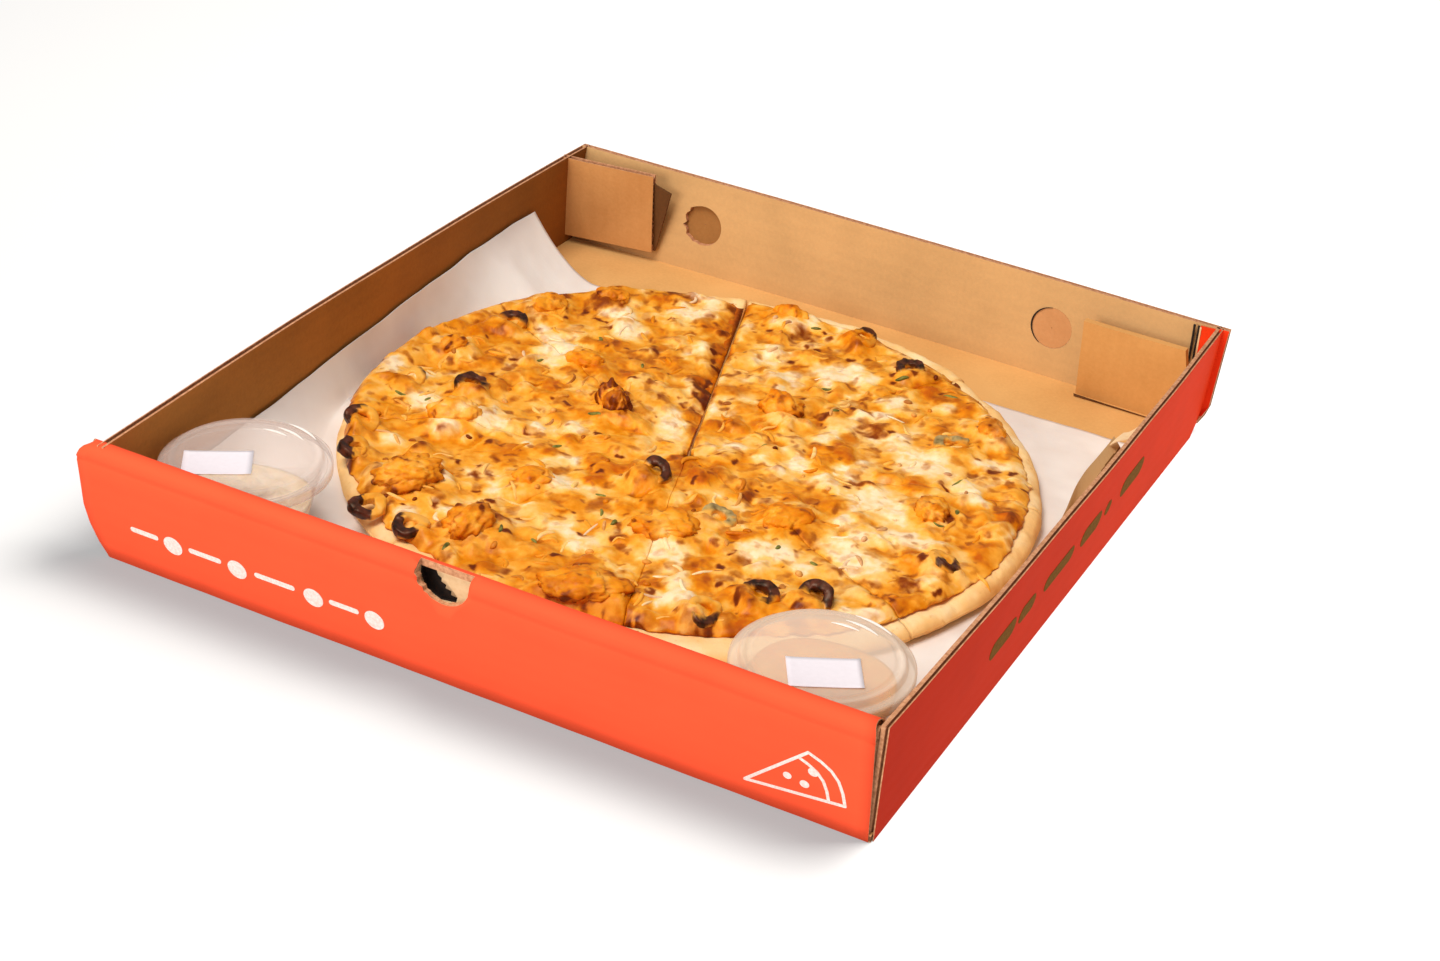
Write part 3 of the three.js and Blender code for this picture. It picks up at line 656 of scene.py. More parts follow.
def plate_grids(outline, thick, y, turn, lean, bend, count=13):
    """The two faces of a plane board between [x, z] corners, turned and leant about the first of them."""
    (x, z), (u, v) = outline[0], unit_grid(count, count)
    flat = spanned(outline, u, v) - [x, z]
    spin = Matrix.Rotation(math.radians(turn), 3, "Z") @ Matrix.Rotation(math.radians(-lean), 3, "X")
    curl = bend * (u**2 * 0.7 + (u * v) ** 2) + 0.25 * noise(u * 40, v * 40, 22, 9)
    return [np.stack([flat[..., 0], depth + curl, flat[..., 1]], -1) @ np.array(spin).T + [x, y, z]
            for depth in (0.0, thick)]


def plate(outline, y, thick, bend=0.0):
    """A small plain plate of board near the back right corner."""
    outer, inner = plate_grids(outline, thick, y, -1.0, -4, bend, 9)
    return slab(outer, inner)


def circle(x, z, radius, sides=40, ragged=0.0, seed=3):
    """An [x, z] outline that can be ragged on its left."""
    turn = around(sides)
    torn = ragged * np.clip(-np.cos(turn), 0, 1) * np.random.default_rng(seed).uniform(-0.6, 1, sides)
    return [[x + (radius + t) * math.cos(a), z + (radius + t) * math.sin(a)] for a, t in zip(turn, torn)]


def on_back(x, z, inset):
    """Points in the back wall, inset from its outer face, at x and z of the drawing."""
    points = wall_point(BACK, share_along(BACK["foot"], x, 0), z / WALL, inset)
    points[..., 0] = x
    return points


def vent_disc(x, radius, depth):
    """A punched-out disc of board, its face at that depth behind the back wall's inner face."""
    rings, turn = np.linspace(0.02, 1, 5), around(36, 1)[:, None]
    near = on_back(x + radius * np.cos(turn) * rings, VENT_Z + radius * np.sin(turn) * rings, BOARD)
    near[..., 1] += depth
    return slab(near, near + [0, BOARD - 0.3, 0], 1, 0, 2)


def vent_cut(x):
    """The cut that shows round the left of the vent that is still closed, near black as painted shade."""
    turn = np.radians(np.linspace(95, 240, 25))[:, None]
    radius = VENT_RADIUS + (0.15 + 0.6 * np.sin(np.linspace(0, math.pi, 25))[:, None]) * [-0.5, 0.5]
    place = x + radius * np.cos(turn), VENT_Z + radius * np.sin(turn)
    return slab(*(on_back(*place, BOARD + proud) for proud in (0.08, -0.1)))


def printed(outline, on_front):
    """A flat printed shape, outline in millimetres on the panel, a hair proud of the board."""
    s, z = np.asarray(outline, float).T
    layers = []
    for offset in (INK_LIFT, INK_LIFT + INK_THICK):
        if on_front:
            y = FRONT_Y - FRONT_LEAN * z / WALL + front_wander(s, z) - offset
            layers.append(np.stack([s, y, z], -1))
        else:
            u = share_along(RIGHT["foot"], s, 1)
            layers.append(wall_point(RIGHT, u, z / WALL, wall_wander(u, z, 2) * z / WALL - offset))
    return drum(*layers)


def ellipse(x, z, rx, rz, turn=0.0):
    a, t = around(28), math.radians(turn)
    return np.stack([x + rx * np.cos(a) * math.cos(t) - rz * np.sin(a) * math.sin(t),
                     z + rx * np.cos(a) * math.sin(t) + rz * np.sin(a) * math.cos(t)], -1)


def bar(x, z, length, height, turn=0.0):
    """A short bar with round ends."""
    a, r = np.linspace(-math.pi / 2, math.pi / 2, 7), height / 2
    ends = np.concatenate([np.stack([length / 2 - r + r * np.cos(a), r * np.sin(a)], -1),
                           np.stack([-length / 2 + r - r * np.cos(a), -r * np.sin(a)], -1)])
    t = math.radians(turn)
    spin = np.array([[math.cos(t), -math.sin(t)], [math.sin(t), math.cos(t)]])
    return ends @ spin.T + [x, z]


def stroke(a, b, width):
    """A straight line with round ends between two places on the panel."""
    way = np.array(b) - np.array(a)
    middle = (np.array(a) + np.array(b)) / 2
    return bar(*middle, np.linalg.norm(way) + width, width, math.degrees(math.atan2(way[1], way[0])))


# ------------------------------------------------------------------ pizza
def pizza_radius(angle):
    off = angle - PIZZA_LONG_WAY
    return PIZZA_RADIUS + PIZZA_OVAL * np.cos(2 * off) + PIZZA_DRIFT * np.cos(off)


def cut_to_rim(angle):
    """Distance from where the cuts cross to the pizza's outer edge."""
    near, far = np.zeros_like(angle), np.full_like(angle, 2 * PIZZA_RADIUS)
    for _ in range(24):
        middle = (near + far) / 2
        x = CUT_X + middle * np.cos(angle) - PIZZA_X
        y = CUT_Y + middle * np.sin(angle) - PIZZA_Y
        inside = np.hypot(x, y) < pizza_radius(np.arctan2(y, x))
        near, far = np.where(inside, middle, near), np.where(inside, far, middle)
    return near


def from_cuts(x, y):
    """Angle and distance of a place from where the cuts cross."""
    return np.arctan2(y - CUT_Y, x - CUT_X), np.hypot(x - CUT_X, y - CUT_Y)


def cut_angle(k):
    return math.radians(CUT_ANGLES[k % SLICES] - (360 if k >= SLICES else 0))


def on_ring(angle):
    return RING * np.cos(angle), RING * np.sin(angle)


def bulge(angle, middle, reach):
    """1 at the middle angle, in degrees, falling softly to 0 over its reach."""
    off = (np.degrees(angle) - middle + 180) % 360 - 180
    return np.exp(-((off / reach) ** 2))


def rim_round(out):
    """1 up to where the rim turns down, then round to 0 at the outer edge."""
    fall = np.clip((out - RIM_FROM) / RIM_WIDE, 0, 1)
    return np.sqrt(np.clip(1 - fall**2, 0, 1))


def crust_height(out):
    """Top of the crust from the tip of a slice, 0, to its outer edge, 1."""
    places = [0, 0.4, 0.88, 0.93, RIM_FROM]
    heights = [CRUST_TOP, CRUST_TOP, CRUST_TOP + 0.2, lerp(CRUST_TOP, CRUST_RIM, 0.6), CRUST_RIM]
    inner = np.interp(out, places, heights)
    return np.where(out > RIM_FROM, CRUST_EDGE + (CRUST_RIM - CRUST_EDGE) * rim_round(out), inner)


def crust_under(out):
    return CRUST_EDGE - (CRUST_EDGE - CRUST_BOTTOM) * rim_round(out)


def bare_rim(angle):
    """Width of the rim that the topping leaves bare."""
    width = BARE_RIM + 1.6 * noise(*on_ring(angle), 22, 8)
    for middle, reach, more in BARE_SWELLS:
        width = width + more * bulge(angle, middle, reach)
    return np.clip(width, 0.8, None)


def shift_at(k, u, closing):
    """How far a slice is drawn out, across its width; healed cuts meet their neighbour half way."""
    def drawn(j):
        middle = (cut_angle(j % SLICES) + cut_angle(j % SLICES + 1)) / 2
        return APART[j % SLICES] * np.array([math.cos(middle), math.sin(middle)])

    own = drawn(k)
    at_first = (drawn(k - 1) + own) / 2
    at_last = (drawn(k + 1) + own) / 2
    first = closing[k] * (1 - u) ** 5
    last = closing[(k + 1) % SLICES] * u**5
    return own + first[..., None] * (at_first - own) + last[..., None] * (at_last - own)


def slice_plan(k, u, out, closing):
    """Plan points of a slice and their angle: u across it, out from its tip to its outer edge."""
    angle = lerp(cut_angle(k), cut_angle(k + 1), u)
    reach = cut_to_rim(angle) * out
    shift = shift_at(k, u, closing)
    return CUT_X + reach * np.cos(angle) + shift[..., 0], CUT_Y + reach * np.sin(angle) + shift[..., 1], angle


class Surface:
    """Height and colour of the topping over the plan, drawn stamp by stamp on a fine grid."""

    step = 0.5
    low = np.array([-165.0, -150.0])
    count = 660

    def __init__(self):
        axis = np.arange(self.count) * self.step
        self.x, self.y = np.meshgrid(self.low[0] + axis, self.low[1] + axis, indexing="ij")
        self.warp = [rough(self.x, self.y, 7, 20, 3), rough(self.x, self.y, 7, 30, 3)]
        self.lift = 4.2 + 0.8 * noise(self.x, self.y, 34, 11) + 0.5 * rough(self.x, self.y, 9, 12)
        broad = 0.22 * noise(self.x, self.y, 38, 13) + 0.34 * rough(self.x, self.y, 18, 14)
        self.tone = 0.46 + broad + 0.22 * rough(self.x, self.y, 8, 16)
        self.brown = np.zeros_like(self.x)

    def window(self, x, y, reach):
        """The part of the grid round a place."""
        first = np.floor((np.array([x, y]) - reach - self.low) / self.step).astype(int)
        last = np.ceil((np.array([x, y]) + reach - self.low) / self.step).astype(int)
        first, last = np.clip(first, 0, self.count - 1), np.clip(last, 1, self.count)
        return slice(first[0], last[0]), slice(first[1], last[1])

    def across(self, at, x, y, rx, ry, turn, warp):
        """Squared distance from the middle of an oval, in its own radii, with a warped outline."""
        c, s = math.cos(turn), math.sin(turn)
        dx, dy = self.x[at] - x + warp * self.warp[0][at], self.y[at] - y + warp * self.warp[1][at]
        return ((dx * c + dy * s) / rx) ** 2 + ((dy * c - dx * s) / ry) ** 2

    def clump(self, x, y, rx, ry, turn, height, tone, warp, base, steep):
        """A lump that hides what is lower."""
        at = self.window(x, y, max(rx, ry) * 1.5 + 2)
        near = self.across(at, x, y, rx, ry, turn, warp)
        rise = base + height * np.clip(1 - near, 0, 1) ** steep
        over = (rise > self.lift[at]) & (near < 1)
        self.lift[at] = np.where(over, rise, self.lift[at])
        self.tone[at] = np.where(over, tone, self.tone[at])

    def stain(self, field, x, y, rx, ry, turn, value, warp, soft):
        """Moves a field towards a value inside a warped oval."""
        at = self.window(x, y, max(rx, ry) * 1.6 + 2)
        share = 1 - ease(1 - soft, 1 + soft, self.across(at, x, y, rx, ry, turn, warp))
        field[at] = lerp(field[at], value, share)

    def soften(self, field, width):
        """A smoothed copy of a field."""
        reach = max(1, int(width / self.step / 2))
        for _ in range(3):
            for axis in (0, 1):
                padded = np.concatenate([np.repeat(field.take([0], axis), reach + 1, axis), field,
                                         np.repeat(field.take([-1], axis), reach, axis)], axis)
                total = np.cumsum(padded, axis)
                size = field.shape[axis]
                high = total.take(range(2 * reach + 1, 2 * reach + 1 + size), axis)
                field = (high - total.take(range(size), axis)) / (2 * reach + 1)
        return field

    def read(self, field, x, y):
        """A field's value at one place."""
        return float(self.sample(field, np.array([x]), np.array([y]))[0])

    def sample(self, field, x, y):
        """A field's values at many places."""
        gx = np.clip((x - self.low[0]) / self.step, 0, self.count - 1.001)
        gy = np.clip((y - self.low[1]) / self.step, 0, self.count - 1.001)
        ix, iy = gx.astype(int), gy.astype(int)
        fx, fy = gx - ix, gy - iy
        near = lerp(field[ix, iy], field[ix + 1, iy], fx)
        far = lerp(field[ix, iy + 1], field[ix + 1, iy + 1], fx)
        return lerp(near, far, fy)


def found(kind):
    """Middle, reach in plan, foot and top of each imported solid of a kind, in the drawing."""
    places = []
    for name in nodes_of(kind):
        low, high = box_of(name)
        x, y, _ = (low + high) / 2
        places.append((x, y, (high - low)[:2].max() / 2, low[2], high[2]))
    return places


CHEESE_SHADES = ["#F9DFB4", "#F6C370", "#F1A736", "#DF8508", "#BE5A00"]
CHICKEN_SHADES = ["#F8D29A", "#F4B04A", "#EC981E", "#DE7E06", "#C26000"]
OLIVE_HOLE, OLIVE_HALF = 0.4, 2.0  # a ring's hole as a share of its radius, and half its thickness
# how deep cheese has run over the inward side of these olives, by their numbers
OLIVE_BURIED = {4: 7.0, 5: 6.0, 6: 9.0, 7: 8.0, 10: 4.0, 13: 4.0, 16: 7.0}
GREEN_OLIVES = (9, 12)
BURNT_CHICKEN = 5  # the charred piece left of the open cut
# the peaks on it: x and y from its middle, and height
CHARRED_PEAKS = [(-3, 3, 4.5), (2, 1, 2.4), (-6, 0, 2.0), (5, -3, 1.8)]
# places in the drawing: x, y, half length, half width, turn in degrees
CREAM_PATCHES = [
    (-108, -25, 15, 8, -20), (-92, 52, 15, 10, -50), (-18, 22, 14, 7, -65), (85, 50, 14, 11, 0),
    (80, 10, 14, 10, 20), (-62, 118, 12, 8, 30), (42, 20, 6, 5, 0), (-50, -92, 8, 6, 40),
    (30, -70, 10, 7, 0), (92, -34, 17, 9, -20), (20, 104, 12, 8, 10), (-84, -24, 12, 7, 0),
    (60, -48, 12, 7, 30), (-75, 85, 9, 6, 60), (0, 86, 9, 6, 0), (52, 92, 9, 6, 40), (-30, -48, 8, 6, 0),
    (108, 66, 8, 6, 0), (-12, -78, 8, 5, 0), (112, -8, 8, 5, 50),
]
BURNT_PLACES = [
    (-46, 24, 8, 4, -55), (-22, 56, 13, 5, -60), (-36, -88, 7, 5, 20), (55, 65, 7, 5, 0),
    (70, 21, 6, 4, 40), (100, 90, 9, 5, -50), (130, 30, 8, 4, -70), (-98, 100, 8, 5, 40),
    (-120, 96, 8, 4, 50), (-76, 128, 9, 4, 20), (36, -14, 9, 4, -40), (-8, 128, 7, 4, 0),
    (24, -100, 8, 4, -30), (-62, -62, 6, 4, 0), (118, -40, 6, 4, 0),
]
SPICED_PLACES = [
    (-130, 35, 14, 16, 0), (-112, 88, 16, 12, 40), (-90, -82, 16, 12, 50), (-40, -112, 18, 9, 0),
    (-66, 62, 18, 13, 10), (18, 58, 14, 11, 30), (-124, -40, 10, 14, 0), (118, 18, 12, 20, 0),
    (104, 78, 10, 16, -40), (-28, 140, 22, 9, 0), (16, -40, 13, 10, 0), (52, -4, 17, 9, 20),
    (-70, -40, 16, 8, 10), (10, -112, 20, 9, 0), (60, 122, 14, 7, -30), (-58, 10, 14, 9, 0),
    (112, -52, 12, 9, 0), (76, -92, 13, 8, 30),
]
THREADS, FLECKS, BLOTCHES, CRUMBS, SLIVERS = 1500, 2700, 330, 70, 26


def anywhere(rng):
    """A place drawn over the whole pizza."""
    return rng.uniform(-155, 145), rng.uniform(-138, 160)


def lay_lumps(s, rng, clumps):
    """Lumps of cheese, and the melt that is heaped over the chicken and over the far side of each olive."""
    for _ in range(clumps):
        x, y = anywhere(rng)
        size = rng.uniform(2.2, 5.4)
        longer = rng.uniform(1.0, 2.0)
        tone = np.clip(s.read(s.tone, x, y) + rng.normal(0, 0.2), 0.02, 0.95)
        base = 4.2 + 0.8 * rng.normal()
        turn, height = rng.uniform(0, math.pi), rng.uniform(0.8, 2.3)
        s.clump(x, y, size * longer, size, turn, height, tone, 2.4, base, 0.7)
    for (x, y, reach, foot, top), shown in zip(found("chicken"), CHICKEN_SHOWN):
        rise = lerp(foot, top, lerp(0.74, 0.34, shown)) - CRUST_TOP - 3.6
        turn, tone = rng.uniform(0, 3), rng.uniform(0.4, 0.75)
        s.clump(x, y, reach * 1.6, reach * 1.35, turn, rise, tone, 4.5, 3.6, 0.7)
        for way in rng.uniform(0, math.pi, 2) + [0, math.pi]:
            place = x + 0.8 * reach * math.cos(way), y + 0.8 * reach * math.sin(way)
            peak = lerp(foot, top, rng.uniform(0.42, 0.68)) - CRUST_TOP - 4
            s.clump(*place, 10, 7.5, way + math.pi / 2, peak, rng.uniform(0.1, 0.75), 4.0, 4.0, 0.55)
    for (x, y, reach, foot, top), shown in zip(found("olive"), OLIVE_SHOWN):
        rise = lerp(foot, top, lerp(0.62, 0.2, shown)) - CRUST_TOP - 3.6
        turn, tone = rng.uniform(0, 3), rng.uniform(0.35, 0.7)
        s.clump(x, y, reach * 1.9, reach * 1.6, turn, rise, tone, 4.0, 3.6, 0.6)
        way = rng.uniform(-0.75, -0.2) * math.pi
        place = x + 0.75 * reach * math.cos(way), y + 0.75 * reach * math.sin(way)
        peak = lerp(foot, top, lerp(1.15, 0.72, shown)) - CRUST_TOP - 3.8
        s.clump(*place, 9.5, 5.5, way + math.pi / 2, peak, rng.uniform(0.35, 0.8), 3.0, 4.2, 0.5)
    s.lift = lerp(s.lift, s.soften(s.lift, 2.2), 0.85)


def lay_cream(s, rng):
    """Smooth patches of plain cheese, and fine threads over everything."""
    smooth = s.soften(s.lift, 4.0) + 0.3
    for x, y, rx, ry, turn in CREAM_PATCHES:
        at = s.window(x, y, rx * 1.6)
        share = 1 - ease(0.3, 1.7, s.across(at, x, y, rx, ry, math.radians(turn), 3.2))
        s.lift[at] = lerp(s.lift[at], smooth[at], 0.75 * share)
        s.tone[at] = lerp(s.tone[at], 0.03, 0.92 * share)
    s.tone = lerp(s.tone, s.soften(s.tone, 2.4), 0.8) + 0.12 * rough(s.x, s.y, 4.2, 43)
    for _ in range(THREADS):
        x, y = anywhere(rng)
        length, width = rng.uniform(2.5, 7.5), rng.uniform(0.8, 1.5)
        at = s.window(x, y, length + 1)
        ridge = np.clip(1 - s.across(at, x, y, length, width, rng.uniform(0, math.pi), 2.2), 0, 1)
        s.lift[at] += rng.uniform(0.1, 0.36) * ridge
        s.tone[at] += rng.uniform(-0.2, 0.12) * ridge


def brown_melt(s, rng, browning):
    """Browns the crests, then adds flecks and blotches, fewer on plain cheese, and the burnt places."""
    crest = s.lift - s.soften(s.lift, 6.0)
    patchy = 0.5 + 0.5 * rough(s.x, s.y, 13, 41)
    s.brown += browning * ease(0.2, 1.8, crest) * ease(0.25, 0.85, patchy)
    s.tone += 0.1 * ease(0.1, 1.0, -crest)
    for _ in range(FLECKS):
        x, y = anywhere(rng)
        r = rng.uniform(0.7, 2.0)
        pale = 0.5 + 0.5 * float(ease(0.05, 0.4, s.read(s.tone, x, y)))
        value = pale * rng.choice([0.34, 0.5, 0.66, 0.92], p=[0.3, 0.36, 0.26, 0.08])
        s.stain(s.brown, x, y, r * rng.uniform(1, 1.9), r, rng.uniform(0, math.pi), value, 1.8, 0.8)
    for _ in range(BLOTCHES):
        x, y = anywhere(rng)
        r = rng.uniform(1.6, 3.4)
        value = rng.uniform(0.25, 0.6) * float(ease(0.1, 0.5, s.read(s.tone, x, y)))
        s.stain(s.brown, x, y, r * rng.uniform(1, 2.2), r, rng.uniform(0, math.pi), value, 3.0, 0.95)
    for x, y, rx, ry, turn in BURNT_PLACES:
        s.stain(s.brown, x, y, rx, ry, math.radians(turn), 0.74, 4.5, 0.95)


def lay_topping(seed, clumps, browning):
    """Spreads sauce, cheese, lumps and browned spots over the plan."""
    s = Surface()
    rng = np.random.default_rng(seed)
    for x, y, rx, ry, turn in SPICED_PLACES:
        s.stain(s.tone, x, y, rx * 1.2, ry * 1.2, math.radians(turn), 0.7, 5, 0.8)
    lay_lumps(s, rng, clumps)
    lay_cream(s, rng)
    brown_melt(s, rng, browning)
    return s


def topping_height(s, x, y, angle, out, groove=0.0):
    """Height of the topping's top over a place, thinning towards the bare rim and the cuts."""
    reach = cut_to_rim(angle)
    to_edge = reach - bare_rim(angle) - out * reach
    full = np.sqrt(ease(-0.2, 7.0, to_edge))
    lift = s.sample(s.lift, x, y)
    return crust_height(out) + 0.5 + (lift - 0.5) * full - groove


def melt_top(s, x, y):
    """Height of what lies on the base at a place: the melt, or the bare rim beyond it."""
    angle, away = from_cuts(x, y)
    return topping_height(s, x, y, angle, np.clip(away / cut_to_rim(angle), 0, 1))


# ------------------------------------------------------------------ settings
class BoardSettings(bpy.types.PropertyGroup):
    kraft: FloatVectorProperty(name="Kraft", description="Inside of the board", subtype="COLOR", size=4,
                               default=colour("#D3A66E"), min=0, max=1)
    ink: FloatVectorProperty(name="Ink", description="Solid print on the front", subtype="COLOR", size=4,
                             default=colour("#FA5836"), min=0, max=1)
    # the walls other than the front: the same print, deepened as painted shade
    side_ink_in_painted_shade: FloatVectorProperty(name="Side ink", description="Solid print on the other walls", size=4,
                                  subtype="COLOR", default=colour("#EE3E18"), min=0, max=1)
    # painted shade: the left wall's inside is a darker copy of the kraft, for the shade it stands in
    shaded: FloatVectorProperty(name="Shaded kraft", description="Inside of the left wall", subtype="COLOR",
                                size=4, default=colour("#C28A42"), min=0, max=1)


class CrustSettings(bpy.types.PropertyGroup):
    dough: FloatVectorProperty(name="Dough", description="Palest colour of the crust", subtype="COLOR",
                               size=4, default=colour("#FADAA4"), min=0, max=1)
    uneven: FloatProperty(name="Unevenness", description="How far the rim wanders from a smooth form",
                          default=0.0009, min=0, max=0.003, unit="LENGTH")


class ToppingSettings(bpy.types.PropertyGroup):
    seed: IntProperty(name="Seed", description="Draw of the scattered lumps and strands", default=7, min=0)
    clumps: IntProperty(name="Lumps", description="Lumps of cheese in the melt", default=1250, min=0)
    strands: IntProperty(name="Strands", description="Strands of cheese that stand up", default=200, min=0)
    browning: FloatProperty(name="Browning", description="How brown the raised cheese is", default=0.85,
                            min=0, max=1, subtype="FACTOR")


class PotSettings(bpy.types.PropertyGroup):
    mist: FloatProperty(name="Mist", description="Roughness of the clear plastic", default=0.14, min=0, max=1,
                        subtype="FACTOR")


class StageSettings(bpy.types.PropertyGroup):
    key: FloatProperty(name="Key light", description="Power of the soft light from above", default=26.0,
                       min=0, unit="POWER")
    front: FloatProperty(name="Front light", description="Power of the low soft light", default=16.0, min=0,
                         unit="POWER")
    backdrop: FloatProperty(name="Backdrop light", description="Power of the soft light on the floor",
                            default=205.0, min=0, unit="POWER")
    sky: FloatProperty(name="Surround", description="Strength of the white surround", default=0.4, min=0)


SETTINGS = {"board": BoardSettings, "crust": CrustSettings, "topping": ToppingSettings, "pots": PotSettings,
            "stage": StageSettings}


class PizzaSettings(bpy.types.PropertyGroup):
    board: PointerProperty(type=BoardSettings)
    crust: PointerProperty(type=CrustSettings)
    topping: PointerProperty(type=ToppingSettings)
    pots: PointerProperty(type=PotSettings)
    stage: PointerProperty(type=StageSettings)


MADE = {}  # what the operators share: the coats of the board, the topping's surface and its cheese
# kraft liner by where it shows: material, light and dark colour, way across its flutes
KRAFTS = {
    "floor": ("Kraft liner, uncoated, worn pale", "#E4AF6C", "#D29B5A", "Z"),
    # the left flap: kraft darkened as painted shade
    "left flap in shade": ("Kraft liner, rubbed brown", "#CF9458", "#BC8046", "X"),
    "torn": ("Kraft liner, torn and pale", "#F3D3A8", "#DDAE78", "X"),
    # the pushed vent disc's face: kraft darkened as painted shade
    "ply": ("Kraft liner, unbleached brown", "#A06E3A", "#8C5C2C", "X"),
    # near-black kraft for painted shadows: the wedge beside the left flap and the strip under the right flap
    "fold": ("Kraft liner, painted shadow", "#6E4520", "#573415", "X"),
    "vent": ("Kraft liner, pressed round", "#CF9662", "#BD8452", "Z"),
    "right flap": ("Kraft liner, pressed flat", "#D49A58", "#C48A4A", "X"),
    # the tab's face: pale kraft, lightened as painted light
    "tab": ("Kraft liner, folded back, lightened as painted light", "#E3BC88", "#CFA26C", "X"),
    # the tab's foot: kraft darkened as painted shade
    "gap": ("Kraft liner, darkened as painted shade in the gap", "#8C6234", "#6E4A24", "X"),
}


def shade_of(base, factor):
    """A colour made darker or lighter."""
    return tuple(min(1.0, c * factor) for c in base[:3]) + (1.0,)


def coats(inner, *more):
    """Materials of a board by its tags: print outside in painted shade, this one inside, cut edge,
    corrugation, and more.
    """
    return [MADE["side"], inner, MADE["edge"], MADE["core"], *more]


# ------------------------------------------------------------------ operators
class PIZZA_OT_tray(bpy.types.Operator):
    """Fold the tray: base, three single walls and the rolled front wall with its thumb notch"""

    bl_idname = "pizza.tray"
    bl_label = "Tray"

    def execute(self, context):
        values = context.scene.pizza.board
        kraft, ink, side_ink_in_painted_shade = tuple(values.kraft), tuple(values.ink), tuple(values.side_ink_in_painted_shade)
        shaded = tuple(values.shaded)
        # painted shade on the side print, darker towards the front of the tray
        front_painted_shade = (colour("#D8C0B8"), colour("#FFFFFF"))
        # painted shade on the left wall's inside, darker towards the back of the tray
        back_painted_shade = (colour("#FFF4E8"), colour("#C8A878"))
        print_coat = printed_liner("Kraft liner, coral flexo print", ink, shade_of(ink, 0.92))
        side_coat_in_painted_shade = printed_liner("Kraft liner, flexo print in painted shade", side_ink_in_painted_shade, shade_of(side_ink_in_painted_shade, 0.9), front_painted_shade)
        inside = kraft_liner("Kraft liner, uncoated", kraft, shade_of(kraft, 0.8))
        # the left wall's inside: kraft darkened as painted shade
        left_wall_painted_shade = kraft_liner("Kraft liner, darkened as painted shade", shaded, shade_of(shaded, 0.7), "Z", back_painted_shade)
        under = kraft_liner("Kraft liner, underside", shade_of(kraft, 0.95), shade_of(kraft, 0.75), "X")
        edge = plain_sheet("Kraft liner, cut edge", colour("#D89E74"), colour("#A86C46"), 1.5, 0.9)
        core = plain_sheet("Corrugated medium, cut edge", colour("#87542A"), colour("#5A3218"), 2.0, 0.95)
        # near black for gaps and hollows: painted shade
        hollow = plain_sheet("Corrugated medium, near black as painted shade", colour("#2A180C"), colour("#120905"), 2.0, 0.95)
        for place, (name, light, dark, ribs) in KRAFTS.items():
            MADE[place] = kraft_liner(name, colour(light), colour(dark), ribs)
        MADE.update({"side": side_coat_in_painted_shade, "edge": edge, "core": core, "hollow": hollow})

        u, v = (t[..., None] for t in unit_grid(41, 41))
        front = lerp(np.array([BASE_LEFT, BASE_FRONT]), np.array([BASE_RIGHT, BASE_FRONT]), u)
        plan = lerp(front, bow(BACK["foot"], np.linspace(0, 0.99, 41))[:, None], v)
        firm = ease(0, 0.1, v * (1 - v) * u * (1 - u) * 4)
        sag = 0.35 * noise(plan[..., 0], plan[..., 1], 80, 3)[..., None] * firm
        low, high = np.concatenate([plan, np.zeros_like(sag)], -1), np.concatenate([plan, BOARD + sag], -1)
        card("base", board(low, high, (), 4), coats(MADE["floor"], under))

        for name, edges, seed in (("left", LEFT, 1), ("right", RIGHT, 2), ("back", BACK, 3)):
            shape = board(*wall_grids(edges, seed), ["v1", "u0", "u1"], inner_share=RIM_FACE[name])
            if name == "back":
                self.wrap_corner(*shape)
            wall = card(f"wall_{name}", shape, coats(left_wall_painted_shade if name == "left" else inside))
            if name == "back":
                cut(wall, [prism(circle(VENT_OPEN_X, VENT_Z, VENT_RADIUS, ragged=1.3), BACK_NEAR, BACK_FAR),
                           prism(circle(VENT_CLOSED_X, VENT_Z, VENT_RADIUS), BACK_NEAR, BACK_FAR)])

        shape = board(front_grid(0.0), front_grid(BOARD), ["u0", "u1"])
        wall = card("wall_front", shape, [print_coat, MADE["torn"], edge, core, hollow], smooth=True)
        ply_y = FRONT_Y - FRONT_LEAN + FRONT_ROLL  # between the two plies of the front wall
        left, right, above = NOTCH_X - NOTCH_RADIUS, NOTCH_X + NOTCH_RADIUS, WALL + 20
        mouth = [[left, NOTCH_Z], [right, NOTCH_Z], [right, above], [left, above]]
        # the torn faces beside the notch take the near-black medium: painted shade
        cut(wall, [prism(circle(NOTCH_X, NOTCH_Z, NOTCH_RADIUS, 48, 0.9, 5), ply_y - 30, ply_y),
                   prism(mouth, ply_y - 30, ply_y), prism(NOTCH_RIP, ply_y - 1.0, ply_y + 4.4, 4)])
        return {"FINISHED"}

    def wrap_corner(self, points, faces, tags):
        """The print of the right wall goes on over the end of the back wall, past the corner."""
        for k, face in enumerate(faces):
            middle = points[face].mean(0)
            if tags[k] == 1 and middle[0] > lerp(*WRAP_FROM, middle[2] / WALL):
                tags[k] = 0


